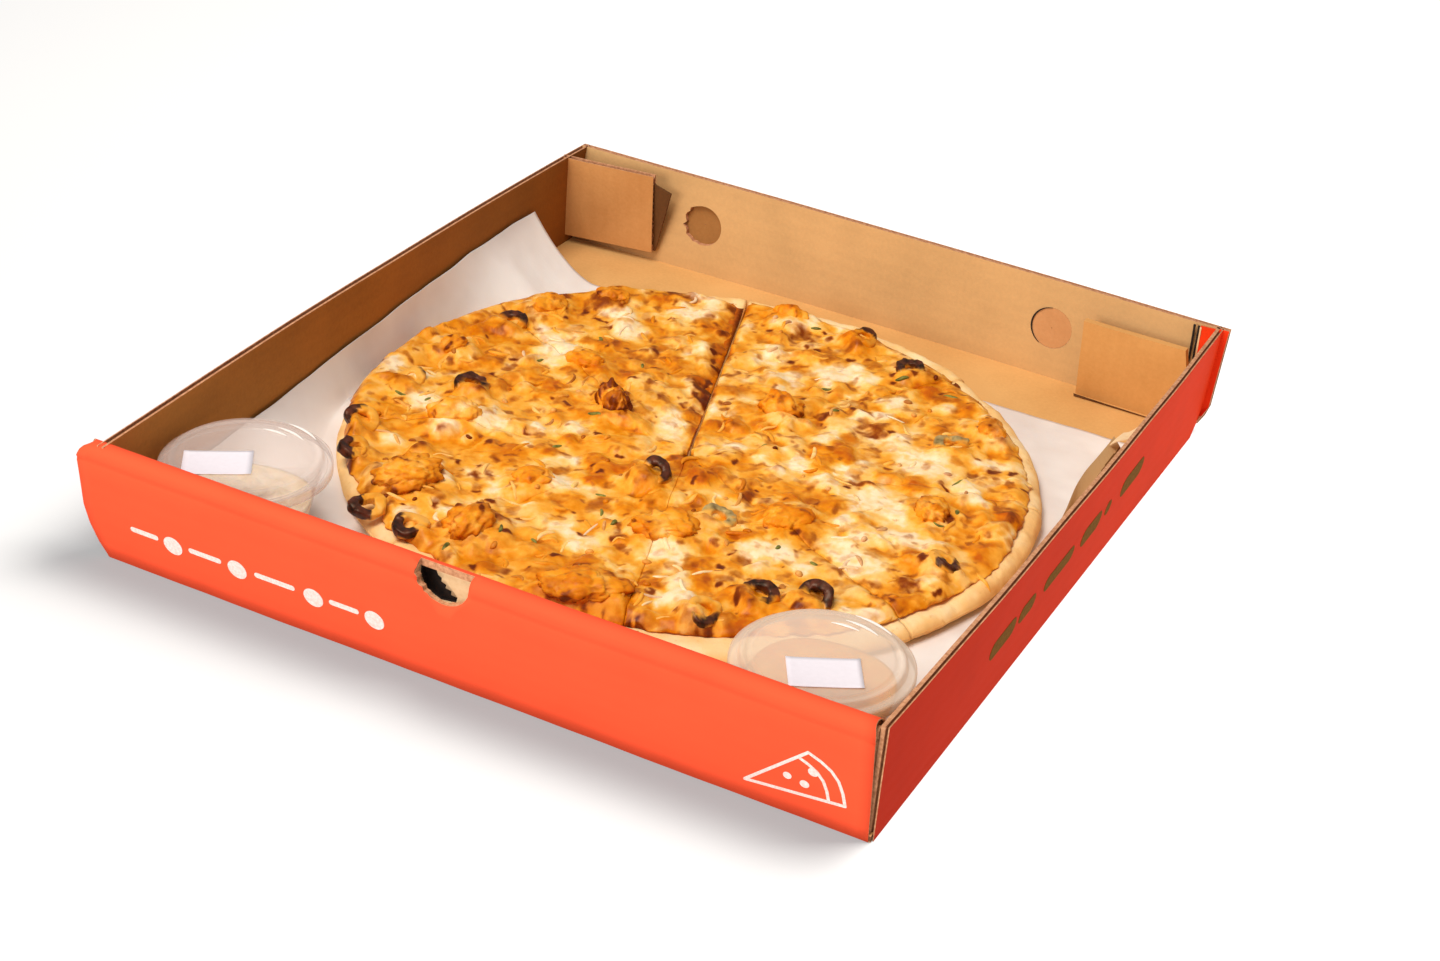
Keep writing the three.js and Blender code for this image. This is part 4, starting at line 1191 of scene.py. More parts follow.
class PIZZA_OT_flaps(bpy.types.Operator):
    """Add the loose board: corner flaps, torn gusset, tuck-in tab and the two punched vent discs"""

    bl_idname = "pizza.flaps"
    bl_label = "Flaps and vent discs"

    def execute(self, context):
        outline = [[-163, 7.5], [-115, 9], [-115, 49.7], [-163, 49.7]]
        outer, inner = plate_grids(outline, BOARD, 170.5, 5, -5, 0.6)
        body = board(inner, outer, ["u1", "v0", "v1"], 1)
        waves = wavy_middle(outer[-1], inner[-1], (-1, 0, 0))
        card("flap_left", joined([body, waves]), coats(MADE["left flap in shade"]))
        # a dark wedge behind the left flap's free edge: its painted shadow on the back wall
        outline = [[-117, 9], [-114.6, 9], [-106.5, 42], [-117, 46]]
        outer, inner = plate_grids(outline, 1.2, 177.3, 2, -6, 0.3)
        card("flap_left_painted_shadow", slab(inner, outer), [MADE["fold"]])
        outline = [[108.5, 2.5], [163, 2.5], [156, 40.5], [108, 40.5]]
        outer, inner = plate_grids(outline, BOARD, 170, -2, -4, 0.3)
        card("flap_right", slab(inner, outer, 1, 1, 1), coats(MADE["right flap"]))
        # a dark strip along the right flap's foot: painted shadow
        shadow = plate([[109, 3.3], [150, 3.4], [150, 3.7], [108.6, 4.5]], 166.4, 0.3)
        card("flap_shadow", shadow, [MADE["fold"]])
        self.gusset()
        self.tab()
        # the pushed disc's inner face takes the darkened kraft: painted shade
        pushed = vent_disc(VENT_OPEN_X, VENT_RADIUS + 1.6, VENT_PUSHED)
        card("vent_pushed", pushed, [MADE["side"], MADE["ply"], MADE["edge"]])
        card("vent_cut", vent_cut(VENT_CLOSED_X), [MADE["hollow"]])
        closed = vent_disc(VENT_CLOSED_X, VENT_RADIUS - 0.08, 0.4)
        card("vent_closed", closed, [MADE["side"], MADE["vent"], MADE["core"]])
        return {"FINISHED"}

    def gusset(self):
        """The torn corner web: printed side out, a pale rolled tip and the slits beside it, near black as
        painted shade.
        """
        web = plate([[159.3, 30], [161.5, 30], [168, 49.8], [158.6, 49.8]], 175.2, BOARD / 2, 0.8)
        card("gusset", web, [MADE["side"]])
        slits = joined([plate([[155.3, 31], [156.0, 31], [156.2, 49.8], [155.2, 49.8]], 175.6, 0.8),
                        plate([[157.1, 33], [157.8, 33], [158.2, 49.8], [157.3, 49.8]], 175.4, 0.8)])
        card("gusset_slits_painted_shade", slits, [MADE["hollow"]])
        pale = joined([plate([[158.2, 31], [158.9, 31], [159.2, 49.6], [158.4, 49.6]], 174.9, 0.6),
                       plate([[159.5, 28], [164.5, 30], [163.5, 36], [160.5, 33.5]], 174.0, 0.6, 1.5)])
        card("gusset_torn_edge", pale, [MADE["torn"]])
        s, t = unit_grid(15, 9)
        roll = math.pi * (0.15 + 1.25 * s)
        width = 4.5 * (1 - 0.55 * t)
        tip = np.stack([165.6 - 1.4 * t + 1.5 * np.cos(roll),
                        173.2 - width * (t - 0.2) * 0.5 + 1.4 * np.sin(roll),
                        lerp(46.5, 37.0, t) + 0.6 * np.sin(4 * s)], -1)
        card("gusset_tip", slab(tip, tip + [0.35, 0.1, 0.05]), [MADE["torn"]], smooth=True)

    def tab(self):
        """The short tab that leans off the right wall, its face lightened as painted light and its foot
        darkened as painted shade in the gap below, and the scrap torn from it.
        """
        u, v = unit_grid(41, 31)
        y = lerp(-30, 59, u)
        z = lerp(lerp(34, 38, u), 44.8 + 0.8 * noise(y, y, 30, 2), v)
        away = lerp(0.6, 7.4, ease(-34, 30, y)) * v**0.8
        near = wall_point(RIGHT, share_along(RIGHT["foot"], y, 1), z / WALL, BOARD + 0.2 + away)
        near[..., 0] += 0.3 * noise(y, v * 20, 24, 4)
        points, faces, tags = slab(near, near + [0.5, 0, -1.0])
        # faces low on the tab take the darker kraft: painted shade in the gap
        for k, face in enumerate(faces):
            middle = points[face].mean(0)
            tags[k] = int(middle[2] < lerp(36.0, 41.0, ease(-10, 55, middle[1])))
        card("tab", (points, faces, tags), [MADE["tab"], MADE["gap"]])
        u, v = unit_grid(9, 7)
        scrap = spanned([[159.2, 58, 44.6], [167.2, 60.5, 49.6], [167.0, 71, 49.4], [160.8, 70, 45.0]], u, v)
        scrap += [0, 0, 0.5] * np.sin(5 * u + 3 * v)[..., None]
        card("tab_scrap", slab(scrap, scrap - [0, 0, 0.5]), [MADE["torn"]])


class PIZZA_OT_print(bpy.types.Operator):
    """Print plain dots, bars and an outlined slice on the front, and bars on the right wall"""

    bl_idname = "pizza.print"
    bl_label = "Print"

    def execute(self, context):
        white = plain_sheet("White ink on liner", colour("#FFE6E0"), colour("#FFC4B8"), 1.0, 0.6, 0.03)
        brown = plain_sheet("Olive brown ink on liner", colour("#86580E"), colour("#684204"), 1.2, 0.9, 0.03,
                            specular=0.1)
        marks = [ellipse(x, 17.3, 4.3, 3.7, -20) for x in (-123.3, -93.9, -59.9, -33.3)]
        marks += [bar(x, 18.2, wide, 2.2) for x, wide in ((-136.5, 13), (-108.5, 15), (-77, 18), (-46.5, 13))]
        front = joined([printed(mark, True) for mark in marks + self.slice_icon()])
        piece("print_front", front, [white], smooth=False)
        marks = [bar(y, 25 + 2 * (y + 90) / 180, wide, tall, 2) for y, wide, tall in (
            (-71, 24, 8), (-48, 16, 7), (-16, 30, 6.5), (18, 22, 8), (37, 7, 6), (66, 27, 8.5))]
        right = joined([printed(mark, False) for mark in marks])
        piece("print_right", right, [brown], smooth=False)
        return {"FINISHED"}

    def slice_icon(self):
        """A plain slice in outline, by the right end of the front: its sides, its crust and three rounds."""
        tip, first, last = np.array([[117.0, 8.0], [140.0, 29.5], [154.5, 12.0]])
        x, z = (first + last) / 2
        spread = np.linspace(0, 1, 6)[:, None]
        crust = lerp(first, last, spread) + 4.0 * np.sin(math.pi * spread) * [0.77, 0.64]
        under = lerp(crust, tip, 0.16)
        lines = [(tip, first), (tip, last), *zip(crust[:-1], crust[1:]), *zip(under[:-1], under[1:])]
        rounds = [ellipse(x - 5, z + 1, 2.0, 1.7), ellipse(x - 8, z - 5.5, 1.8, 1.5),
                  ellipse(x - 14.5, z - 4.5, 1.6, 1.4)]
        return [stroke(a, b, 1.2) for a, b in lines] + rounds


class PIZZA_OT_paper(bpy.types.Operator):
    """Lay the greaseproof paper on the base and up the left wall"""

    bl_idname = "pizza.paper"
    bl_label = "Greaseproof paper"

    def execute(self, context):
        sheet = greaseproof("Greaseproof paper, calendered", colour("#F4ECE5"), colour("#E6DAD2"))
        u, v = unit_grid(181, 181)
        y = lerp(PAPER_FRONT, PAPER_BACK, v)
        off = np.clip((y - PIZZA_Y) / PIZZA_RADIUS, -1, 1)
        round_it = PIZZA_X - PIZZA_RADIUS * np.sqrt(1 - off * off) - 4
        beside = np.clip(round_it, PAPER_BEND_LEFT, PAPER_BEND_RIGHT)
        bend_x = lerp(beside, PAPER_BEND_FRONT, ease(70, 96, -y))
        edge_z = lerp(PAPER_CLIMB_FRONT, PAPER_CLIMB_BACK, ease(-150, 130, y)) + 0.8 * noise(y, y, 35, 6)
        wall_x = wall_point(LEFT, (y + 172) / 353, edge_z / WALL, BOARD)[..., 0] + 1.2
        climb = np.clip((PAPER_CLIMBING - u) / PAPER_CLIMBING, 0, 1)
        flat = np.clip((u - PAPER_CLIMBING) / (1 - PAPER_CLIMBING), 0, 1)
        x = np.where(u < PAPER_CLIMBING, lerp(bend_x, wall_x, climb), lerp(bend_x, PAPER_RIGHT, flat))
        z = PAPER_Z + (edge_z - PAPER_Z) * climb**1.7
        free = 1 - ease(0.92, 1.06, np.hypot(x - PIZZA_X, y - PIZZA_Y) / PIZZA_RADIUS * -1 + 2)
        crumple = np.abs(rough(x, y, 34, 51, 3)) * 1.5 + 0.25 * noise(x, y, 9, 55)
        z = z + np.where(climb > 0, 0.25, 0.35) * crumple * (0.25 + 0.75 * np.clip(free, 0, 1))
        x = x + 0.5 * noise(y, z, 26, 57) * (climb > 0) + 0.6 * noise(y, y, 40, 58) * (u > 0.98)
        low = np.stack([x, y, z], -1)
        high = low + np.stack([PAPER_THICK * climb, 0 * z, 0 * z + PAPER_THICK], -1)
        piece("greaseproof_sheet", slab(low, high), [sheet], ["liner_paper"])
        return {"FINISHED"}


class PIZZA_OT_crusts(bpy.types.Operator):
    """Bake the eight crusts with their uneven, floury rims"""

    bl_idname = "pizza.crusts"
    bl_label = "Crusts"

    def execute(self, context):
        values = context.scene.pizza.crust
        shades = tuple(values.dough), colour("#F6C680"), colour("#D8964A")
        dough = baked_dough("Bread dough, stone baked", *shades)
        wander = values.uneven / MM
        turn_down = RIM_FROM + RIM_WIDE * np.sin(np.linspace(0.12, 1, 12) * math.pi / 2)
        outs = np.concatenate([np.linspace(TIP, 0.84, 12), np.linspace(0.85, RIM_FROM, 16), turn_down])
        for k in range(SLICES):
            u, out = np.meshgrid(np.linspace(0, 1, 121), outs, indexing="ij")
            x, y, angle = slice_plan(k, u, out, [0.0] * SLICES)
            near_rim = ease(0.84, 0.9, out)
            ring = on_ring(angle)
            swell = noise(*ring, 30, 61) + 0.6 * noise(*ring, 11, 62)
            lumps = noise(x, y, 7, 63) + 0.5 * noise(x, y, 3, 64)
            grow = 1 + near_rim * (0.55 * swell - 0.6) / RING
            x, y = PIZZA_X + (x - PIZZA_X) * grow, PIZZA_Y + (y - PIZZA_Y) * grow
            edge_fade = 1 - ease(0.985, 1.0, out)
            flat = bulge(angle, -48, 40)
            fall = 0.6 * ease(0.945, 0.985, out) + 1.7 * flat * ease(0.9, 0.97, out)
            top = crust_height(out) - near_rim * fall
            top += near_rim * wander * (0.9 * swell + 0.5 * lumps) * (0.3 + 0.7 * edge_fade)
            under = crust_under(out) + near_rim * 0.3 * lumps
            top = np.maximum(top, under + 0.05)
            toast = 0.14 * ease(0.97, 1.0, out) + 0.1 * np.clip(swell, 0, 1) * near_rim
            toast += 0.12 * ease(0.0, 3.0, 3 - np.minimum(u, 1 - u) * out * 100) * near_rim
            fields = {"bake": np.concatenate([toast.ravel(), toast.ravel() + 0.1])}
            shape = slab(np.stack([x, y, top], -1), np.stack([x, y, under], -1))
            piece(f"crust_{k + 1}", shape, [dough], [f"slice_{k + 1}_crust"], fields)
        return {"FINISHED"}


class PIZZA_OT_toppings(bpy.types.Operator):
    """Melt cheese, sauce and chicken over the eight slices"""

    bl_idname = "pizza.toppings"
    bl_label = "Toppings"

    def execute(self, context):
        values = context.scene.pizza.topping
        surface = lay_topping(values.seed, values.clumps, values.browning)
        shades = [colour(c) for c in CHEESE_SHADES]
        cheese = melted_cheese("Mozzarella, melted and browned", shades, colour("#B65600"), colour("#622200"))
        MADE["surface"], MADE["cheese"] = surface, cheese
        nu, nr = 140, 180
        # the grid's border, all the way round
        loop = np.concatenate([np.arange(nr), np.arange(1, nu) * nr + nr - 1,
                               (nu - 1) * nr + np.arange(nr - 2, -1, -1), np.arange(nu - 2, 0, -1) * nr])
        low = nu * nr + np.arange(len(loop))
        sides = np.stack([loop, np.roll(loop, -1), np.roll(low, -1), low], -1)
        faces = grid_faces(nu, nr).tolist() + sides.tolist() + [low.tolist()]
        u, ring = unit_grid(nu, nr)
        for k in range(SLICES):
            angle = lerp(cut_angle(k), cut_angle(k + 1), u)
            reach = cut_to_rim(angle)
            ragged = 1.3 * noise(*on_ring(angle), 5, 71) + 1.5 * noise(*on_ring(angle), 14, 72)
            edge = 1 - (bare_rim(angle) - ragged) / reach
            out = lerp(TIP, edge, ring)
            x, y, angle = slice_plan(k, u, out, HEALED)
            groove, slope = self.grooves(k, x, y, angle, out * reach)
            top = topping_height(surface, x, y, angle, out, groove)
            floor = crust_height(out) + 0.25
            top = np.maximum(top, floor + 0.25)
            grid, foot = (np.stack([x, y, z], -1).reshape(-1, 3) for z in (top, floor))
            tone = surface.sample(surface.tone, x, y) + 0.3 * np.clip(groove - 0.2, 0, 1)
            brown = surface.sample(surface.brown, x, y) + 0.6 * slope * ease(-0.5, 0.4, rough(x, y, 10, 76))
            crisp = (1 - ease(0, 6, (edge - out) * reach)) * ease(-0.1, 0.5, noise(x, y, 8, 75))
            brown = brown + 0.7 * crisp * ease(-0.4, 0.5, np.cos(angle - math.radians(140))) + 0.1 * crisp
            fields = {"tone": np.concatenate([tone.ravel(), tone.ravel()[loop] + 0.15]),
                      "brown": np.concatenate([brown.ravel(), brown.ravel()[loop]])}
            shape = np.concatenate([grid, foot[loop]]), faces, [0] * len(faces)
            piece(f"topping_{k + 1}", shape, [cheese], [f"slice_{k + 1}_topping"], fields)
        return {"FINISHED"}

    def grooves(self, k, x, y, angle, away):
        """How far the melt sinks along the two cuts of a slice, and where it slopes into the open one."""
        wander = noise(x, y, 9, 73)
        groove, slope = np.zeros_like(x), np.zeros_like(x)
        for j in (k, (k + 1) % SLICES):
            across = away * np.sin(np.abs(angle - cut_angle(j if j >= k else SLICES)))
            deep = (1.1 - 0.75 * HEALED[j]) * (0.7 + 0.5 * ease(60, 130, away)) + 0.25 * wander
            groove += np.clip(deep, 0.1, 2) * np.exp(-((across / (1.5 + 0.4 * wander)) ** 2))
            if (j, k) == OPEN_SLOPE:
                slope = np.exp(-((across / (SLOPE_WIDTH * (1 + 0.35 * wander))) ** 2)) * ease(12, 50, away)
        groove += slope * (SLOPE_DEPTH + 1.2 * noise(x, y, 9, 77) + 0.3 * noise(x, y, 4, 78))
        return groove, slope


class PIZZA_OT_chicken(bpy.types.Operator):
    """Place the pieces of shredded chicken"""

    bl_idname = "pizza.chicken"
    bl_label = "Chicken"

    def execute(self, context):
        shades = [colour(c) for c in CHICKEN_SHADES]
        browned, burnt = colour("#BA5A02"), colour("#6A2800")
        meat = melted_cheese("Chicken, spiced and roasted", shades, browned, burnt, 0.45)
        surface = MADE["surface"]
        ball = bmesh.new()
        bmesh.ops.create_icosphere(ball, subdivisions=5, radius=1)
        unit = np.array([v.co for v in ball.verts])
        faces = [[v.index for v in f.verts] for f in ball.faces]
        ball.free()
        for name in nodes_of("chicken"):
            number = int(name[-2:])
            solid = solid_of(name)
            middle, axes = lie_of(solid)
            half = np.abs((solid - middle) @ axes.T).max(0)
            p = fuller(unit, 0.9) * half
            own = p + 37.0 * number  # each piece has its own part of the noise
            fibre = 1 - 2 * np.abs(noise(own[:, 0] / 4, own[:, 1] + 1.3 * own[:, 2], 2.0, 80))
            lumpy = noise_round(own, 9, 90) + 0.8 * noise_round(own, 4, 94) + 0.42 * noise_round(own, 2.0, 98)
            p = p * (0.9 + 0.2 * lumpy + 0.035 * fibre)[:, None]
            points = p @ axes + middle
            points[:, 2] = np.minimum(points[:, 2], middle[2] + half[2] * 1.05 + 0.6)
            x, y, z = points.T
            high = ease(-0.2, 0.9, (z - middle[2]) / (z.max() - middle[2]))
            cover = ease(-0.15, 0.35, noise(x, y, 9, 99) + 0.2 * noise_round(own, 3, 97))
            spots = noise_round(own, 3.4, 104)
            low_edge = ease(0.35, -0.25, (z - middle[2]) / half[2]) * ease(-0.5, 0.3, lumpy)
            shown = CHICKEN_SHOWN[number - 1]
            own_tone = 0.56 + 0.1 * fibre + 0.26 * lumpy - 0.4 * cover * high
            melt = surface.sample(surface.tone, x, y)
            tone = lerp(melt + 0.15 * lumpy, own_tone, lerp(0.25, 0.85, shown))
            brown = 0.7 * ease(0.1, 0.8, spots) * ease(-0.4, 0.5, lumpy) + 0.2 * ease(0.0, -0.8, fibre)
            brown = brown + shown * low_edge + 0.75 * surface.sample(surface.brown, x, y)
            if number == BURNT_CHICKEN:
                brown = brown + 0.6 * ease(-0.8, 0.3, lumpy + 0.5 * noise_round(own, 1.6, 91))
                self.char(points, own, middle)
            shape, fields = (points, faces, [0] * len(faces)), {"tone": tone, "brown": brown}
            piece(f"chicken_piece_{number:02d}", shape, [meat], [name], fields)
        return {"FINISHED"}

    def char(self, points, own, middle):
        """Raises crisp peaks and a rough skin on the upper side of a piece."""
        for dx, dy, rise in CHARRED_PEAKS:
            off = (points[:, 0] - middle[0] - dx) ** 2 + (points[:, 1] - middle[1] - dy) ** 2
            points[:, 2] += rise * np.exp(-off / 2.4) * (points[:, 2] > middle[2])
        points[:, 2] += 0.9 * noise_round(own, 1.7, 92) * (points[:, 2] > middle[2])


class PIZZA_OT_olives(bpy.types.Operator):
    """Place the olive rings, black and green, with the cheese that has run over them"""

    bl_idname = "pizza.olives"
    bl_label = "Olives"

    def execute(self, context):
        film = [colour(c) for c in CHEESE_SHADES]
        black = wet_skin("Black olive, sliced and baked", colour("#5E2A1A"), colour("#1C0B07"), 3.4, 0.42,
                         film)
        green = wet_skin("Green olive, sliced and baked", colour("#C0A468"), colour("#786238"), 3.0, 0.32,
                         film)
        sides, loop = 48, 20
        t, a = np.meshgrid(around(sides), around(loop), indexing="ij")
        faces = grid_faces(sides, loop, closed=True).tolist()
        for k in range(sides):
            here, after = k * loop, (k + 1) % sides * loop
            faces.append([here + loop - 1, here, after, after + loop - 1])
        for name in nodes_of("olive"):
            number = int(name[-2:])
            solid = solid_of(name)
            middle, axes = lie_of(solid)
            outer = np.linalg.norm((solid - middle) @ axes[:2].T, axis=1).max()
            hole = OLIVE_HOLE * outer
            band = (outer - hole) / 2
            squeeze = 1 + 0.09 * np.sin(2 * t + number) + 0.05 * np.sin(3 * t + 2 * number)
            ring = (outer + hole) / 2 * squeeze
            radius = ring + fuller(np.cos(a), 0.5) * band * squeeze
            high = fuller(np.sin(a), 0.6) * OLIVE_HALF * (1 + 0.12 * np.sin(2 * t + 3 * number))
            high = high + 0.5 * np.sin(2 * t + number)
            local = np.stack([radius * np.cos(t), radius * np.sin(t), high], -1)
            local += 0.55 * noise_round(local + 13.0 * number, 2.6, 101)[..., None]
            points = local.reshape(-1, 3) @ axes + middle
            fields = self.film(number, points, middle, outer)
            coat = green if number in GREEN_OLIVES else black
            shape = points, faces, [0] * len(faces)
            piece(f"olive_ring_{number:02d}", shape, [coat], [name], fields)
        return {"FINISHED"}

    def film(self, number, points, middle, outer):
        """Where cheese has crept up over a ring, most on its side towards the middle, and its tone there."""
        surface = MADE["surface"]
        x, y, z = points.T
        above = z - melt_top(surface, x, y)
        patch = noise(x, y, 7, 103) + 0.6 * noise(x, y + z, 3, 104)
        inward = (np.array([CUT_X, CUT_Y]) - middle[:2]) / np.hypot(CUT_X - middle[0], CUT_Y - middle[1])
        side = (points[:, :2] - middle[:2]) @ inward / outer
        creep = lerp(2.6, 0.1, OLIVE_SHOWN[number - 1]) + 1.6 * patch
        creep = creep + OLIVE_BURIED.get(number, 0.0) * ease(-0.5, 0.35, side + 0.3 * patch)
        cover = 0.92 * (1 - ease(-0.8, 0.8, above - creep))
        return {"cover": cover, "tone": np.clip(surface.sample(surface.tone, x, y) + 0.2 * patch, 0.45, 1)}


class PIZZA_OT_strands(bpy.types.Operator):
    """Scatter strands of cheese, crisp crumbs and slivers of green pepper"""

    bl_idname = "pizza.strands"
    bl_label = "Strands and crumbs"

    def scatter(self, rng, count, length, width, lift, inside):
        """Short curved strips that lie on the topping, clear of the open cut, and their tone and browning."""
        surface = MADE["surface"]
        parts, tones, browns = [], [], []
        while len(parts) < count:
            angle, share = rng.uniform(0, 2 * math.pi), math.sqrt(rng.uniform(0, 1))
            reach = float(cut_to_rim(np.array([angle]))[0]) - inside
            x, y = CUT_X + reach * share * math.cos(angle), CUT_Y + reach * share * math.sin(angle)
            long, way, curl = rng.uniform(*length), rng.uniform(0, 2 * math.pi), rng.normal(0, 0.9)
            s = np.linspace(-0.5, 0.5, 8)
            turn = way + curl * s
            step = long / 7
            px, py = x + np.cumsum(np.cos(turn)) * step, y + np.cumsum(np.sin(turn)) * step
            a, away = from_cuts(px, py)
            to_cut = np.where(np.cos(a - cut_angle(0)) > 0, away * np.sin(a - cut_angle(0)), 99.0)
            if np.any((to_cut > -4) & (to_cut < 12)):
                continue
            high = topping_height(surface, px, py, a, away / cut_to_rim(a))
            arch = lift * (1 - (2 * s) ** 2) * rng.uniform(0.4, 1.3)
            smooth = np.convolve(np.pad(high, 1, "edge"), [0.25, 0.5, 0.25], "valid")
            path = np.stack([px, py, smooth - 0.3 + arch], -1)
            radii = rng.uniform(*width) * np.sqrt(np.clip(1.02 - (2 * s) ** 2, 0.02, 1))
            parts.append(tube(path, radii, 7, 0.8))
            size = len(parts[-1][0])
            tones.append(np.full(size, surface.read(surface.tone, x, y) + rng.uniform(-0.2, 0.05)))
            browns.append(np.full(size, max(0.0, rng.normal(0.05, 0.22))))
        return joined(parts), {"tone": np.concatenate(tones), "brown": np.concatenate(browns)}

    def execute(self, context):
        values = context.scene.pizza.topping
        cheese = MADE["cheese"]
        rng = np.random.default_rng(values.seed + 1)
        shape, fields = self.scatter(rng, values.strands, (5, 12), (0.6, 1.15), lift=0.2, inside=10.0)
        piece("cheese_strands", shape, [cheese], (), fields)
        shape, fields = self.scatter(rng, CRUMBS, (2.0, 4.5), (0.7, 1.4), lift=0.5, inside=8.0)
        fields["brown"] = np.clip(fields["brown"] + 0.35, 0, 0.9)
        piece("crisp_crumbs", shape, [cheese], (), fields)
        green = wet_skin("Green pepper, baked", colour("#8C8A3C"), colour("#4E4E1C"), 3.0, 0.4)
        shape, _ = self.scatter(rng, SLIVERS, (3, 8), (0.6, 1.1), lift=0.3, inside=14.0)
        piece("pepper_slivers", shape, [green])
        return {"FINISHED"}


class PIZZA_OT_pots(bpy.types.Operator):
    """Set the two clear pots of dip with their lids and bare labels"""

    bl_idname = "pizza.pots"
    bl_label = "Pots of dip"

    def execute(self, context):
        mist = context.scene.pizza.pots.mist
        cup_plastic = clear_plastic("Polypropylene cup, clear", colour("#F6E6D8"), mist, 0.12, 0.36)
        lids = {"left": clear_plastic("Polypropylene lid, clear", colour("#EEDAD0"), mist, 0.17, 0.5),
                "right": clear_plastic("Polypropylene lid, misted", colour("#F3DFC9"), mist, 0.32, 0.6)}
        # near-opaque white ribs: painted highlight streaks on the lid
        ribs = clear_plastic("Polypropylene rib, white as painted highlight", colour("#FFFAF4"), mist, 0.7, 0.85)
        paper = plain_sheet("Label paper, matt white", colour("#E9E2E8"), colour("#E5DEE4"), 2.0, 0.75, 0.04)
        dips = {"left": thick_dip("Garlic mayonnaise, stirred", colour("#FBEBCF"), colour("#F1DAB2")),
                "right": thick_dip("Cocktail sauce, stirred", colour("#FFC168"), colour("#F4A44C"))}
        for side in ("left", "right"):
            low, high = box_of(f"pot_{side}_cup")
            foot = (low[0] + high[0]) / 2, (low[1] + high[1]) / 2, low[2]
            self.cup(side, foot, cup_plastic)
            self.lid(side, foot, lids[side])
            self.ribs(side, foot, ribs)
            self.dip(side, foot, dips[side])
            self.label(side, paper)
        return {"FINISHED"}

    def radius(self, height):
        """Outer radius of the cup at a height."""
        return lerp(POT_BASE, POT_MOUTH, height / POT_HEIGHT)

    def cup(self, side, foot, plastic):
        heights = np.linspace(3, POT_HEIGHT - 4.5, 8)
        step = POT_HEIGHT - 3.4
        outer = [[POT_BASE - 3.2, 0.9], [POT_BASE - 2.2, 0.05], [POT_BASE - 0.8, 0.2], [POT_BASE, 1.2]]
        outer += [[self.radius(h), h] for h in heights]
        outer += [[self.radius(step) + 0.5, step], [self.radius(step) + 0.8, POT_HEIGHT - 1.0],
                  [POT_FLANGE - 0.5, POT_HEIGHT - 0.95], [POT_FLANGE, POT_HEIGHT - 0.7],
                  [POT_FLANGE, POT_HEIGHT - 0.4], [POT_FLANGE - 0.4, POT_HEIGHT - 0.25]]
        inner = [[self.radius(step) + 0.6 - POT_SKIN, POT_HEIGHT - 0.3],
                 [self.radius(step) + 0.4 - POT_SKIN, step]]
        inner += [[self.radius(h) - POT_SKIN, h] for h in heights[::-1]]
        inner += [[POT_BASE - POT_SKIN - 0.2, 1.6], [POT_BASE - 3.0, 1.35]]
        shape = turned([[0, 0.9]] + outer + inner + [[0, 1.35]], 72, *foot)
        piece(f"cup_{side}", shape, [plastic], [f"pot_{side}_cup"])

    def lid(self, side, foot, plastic):
        top, step, hem = POT_LID_TOP, POT_HEIGHT + 1.2, POT_HEIGHT - 2.9
        upper = [[0, top], [24.5, top], [25.3, top - 0.15], [26.3, top - 0.9], [27.2, top - 0.25],
                 [28.4, top], [29.0, top - 0.3], [29.6, step + 0.6], [30.3, step + 0.15], [32.2, step + 0.1],
                 [32.9, step - 0.4], [POT_LID, step - 1.2], [POT_LID, hem]]
        lower = [[POT_LID - POT_SKIN, hem], [POT_LID - POT_SKIN, step - 1.4], [32.0, step - 0.35],
                 [29.9, step - 0.4], [29.1, step + 0.3], [28.4, top - 0.75], [27.4, top - 0.75],
                 [26.3, top - 1.35], [25.2, top - 0.65], [24.3, top - POT_SKIN], [0, top - POT_SKIN]]
        piece(f"lid_{side}", turned(upper + lower, 96, *foot), [plastic], [f"pot_{side}_lid"])

    def ribs(self, side, foot, plastic):
        """Short raised ribs in the top of the lid, nearly opaque white: painted highlight streaks."""
        x, y, z = foot
        made = []
        for radius, first, last in ((20.5, 78, 108), (23.8, 62, 96), (28.4, 58, 92)):
            turn = np.radians(np.linspace(first, last, 25))
            path = np.stack([x + radius * np.cos(turn), y + radius * np.sin(turn),
                             np.full(25, z + POT_LID_TOP + 0.05)], -1)
            made.append(tube(path, 0.15 + 0.5 * np.sin(np.linspace(0, math.pi, 25)), 8, 0.5))
        piece(f"lid_highlight_ribs_{side}", joined(made), [plastic], [f"pot_{side}_lid"])

    def dip(self, side, foot, sauce):
        """The dip reaches just into the cup's wall, so no air shows between them."""
        x, y, z = foot
        _, high = box_of(f"pot_{side}_dip")
        fill = high[2] - z - 0.9
        uneven, seat, slot = (2.6, 90, "creamy_dip") if side == "left" else (1.3, 10, "peach_dip")
        turn, v = around(72)[:, None], np.linspace(0.02, 1, 26)[None]
        edge = self.radius(fill) - DIP_GAP
        px, py = edge * v * np.cos(turn), edge * v * np.sin(turn)
        lumpy = uneven * rough(px + 50, py + seat, 9, 111) * (1 - v**6)
        climb = 1.4 * v**10 * (1 + 0.6 * np.sin(3 * turn))
        top = np.stack([px + x, py + y, fill + lumpy + climb + z], -1)
        down = np.linspace(fill, DIP_FLOOR, 8)[None, 1:]
        wall = np.stack([(self.radius(down) - DIP_GAP) * np.cos(turn) + x,
                         (self.radius(down) - DIP_GAP) * np.sin(turn) + y,
                         np.broadcast_to(down + z, (72, 7))], -1)
        shape = capped(np.concatenate([top, wall], 1), [x, y, top[:, 0, 2].mean()], [x, y, z + DIP_FLOOR])
        piece(f"dip_{side}", shape, [sauce], [f"pot_{side}_dip"])

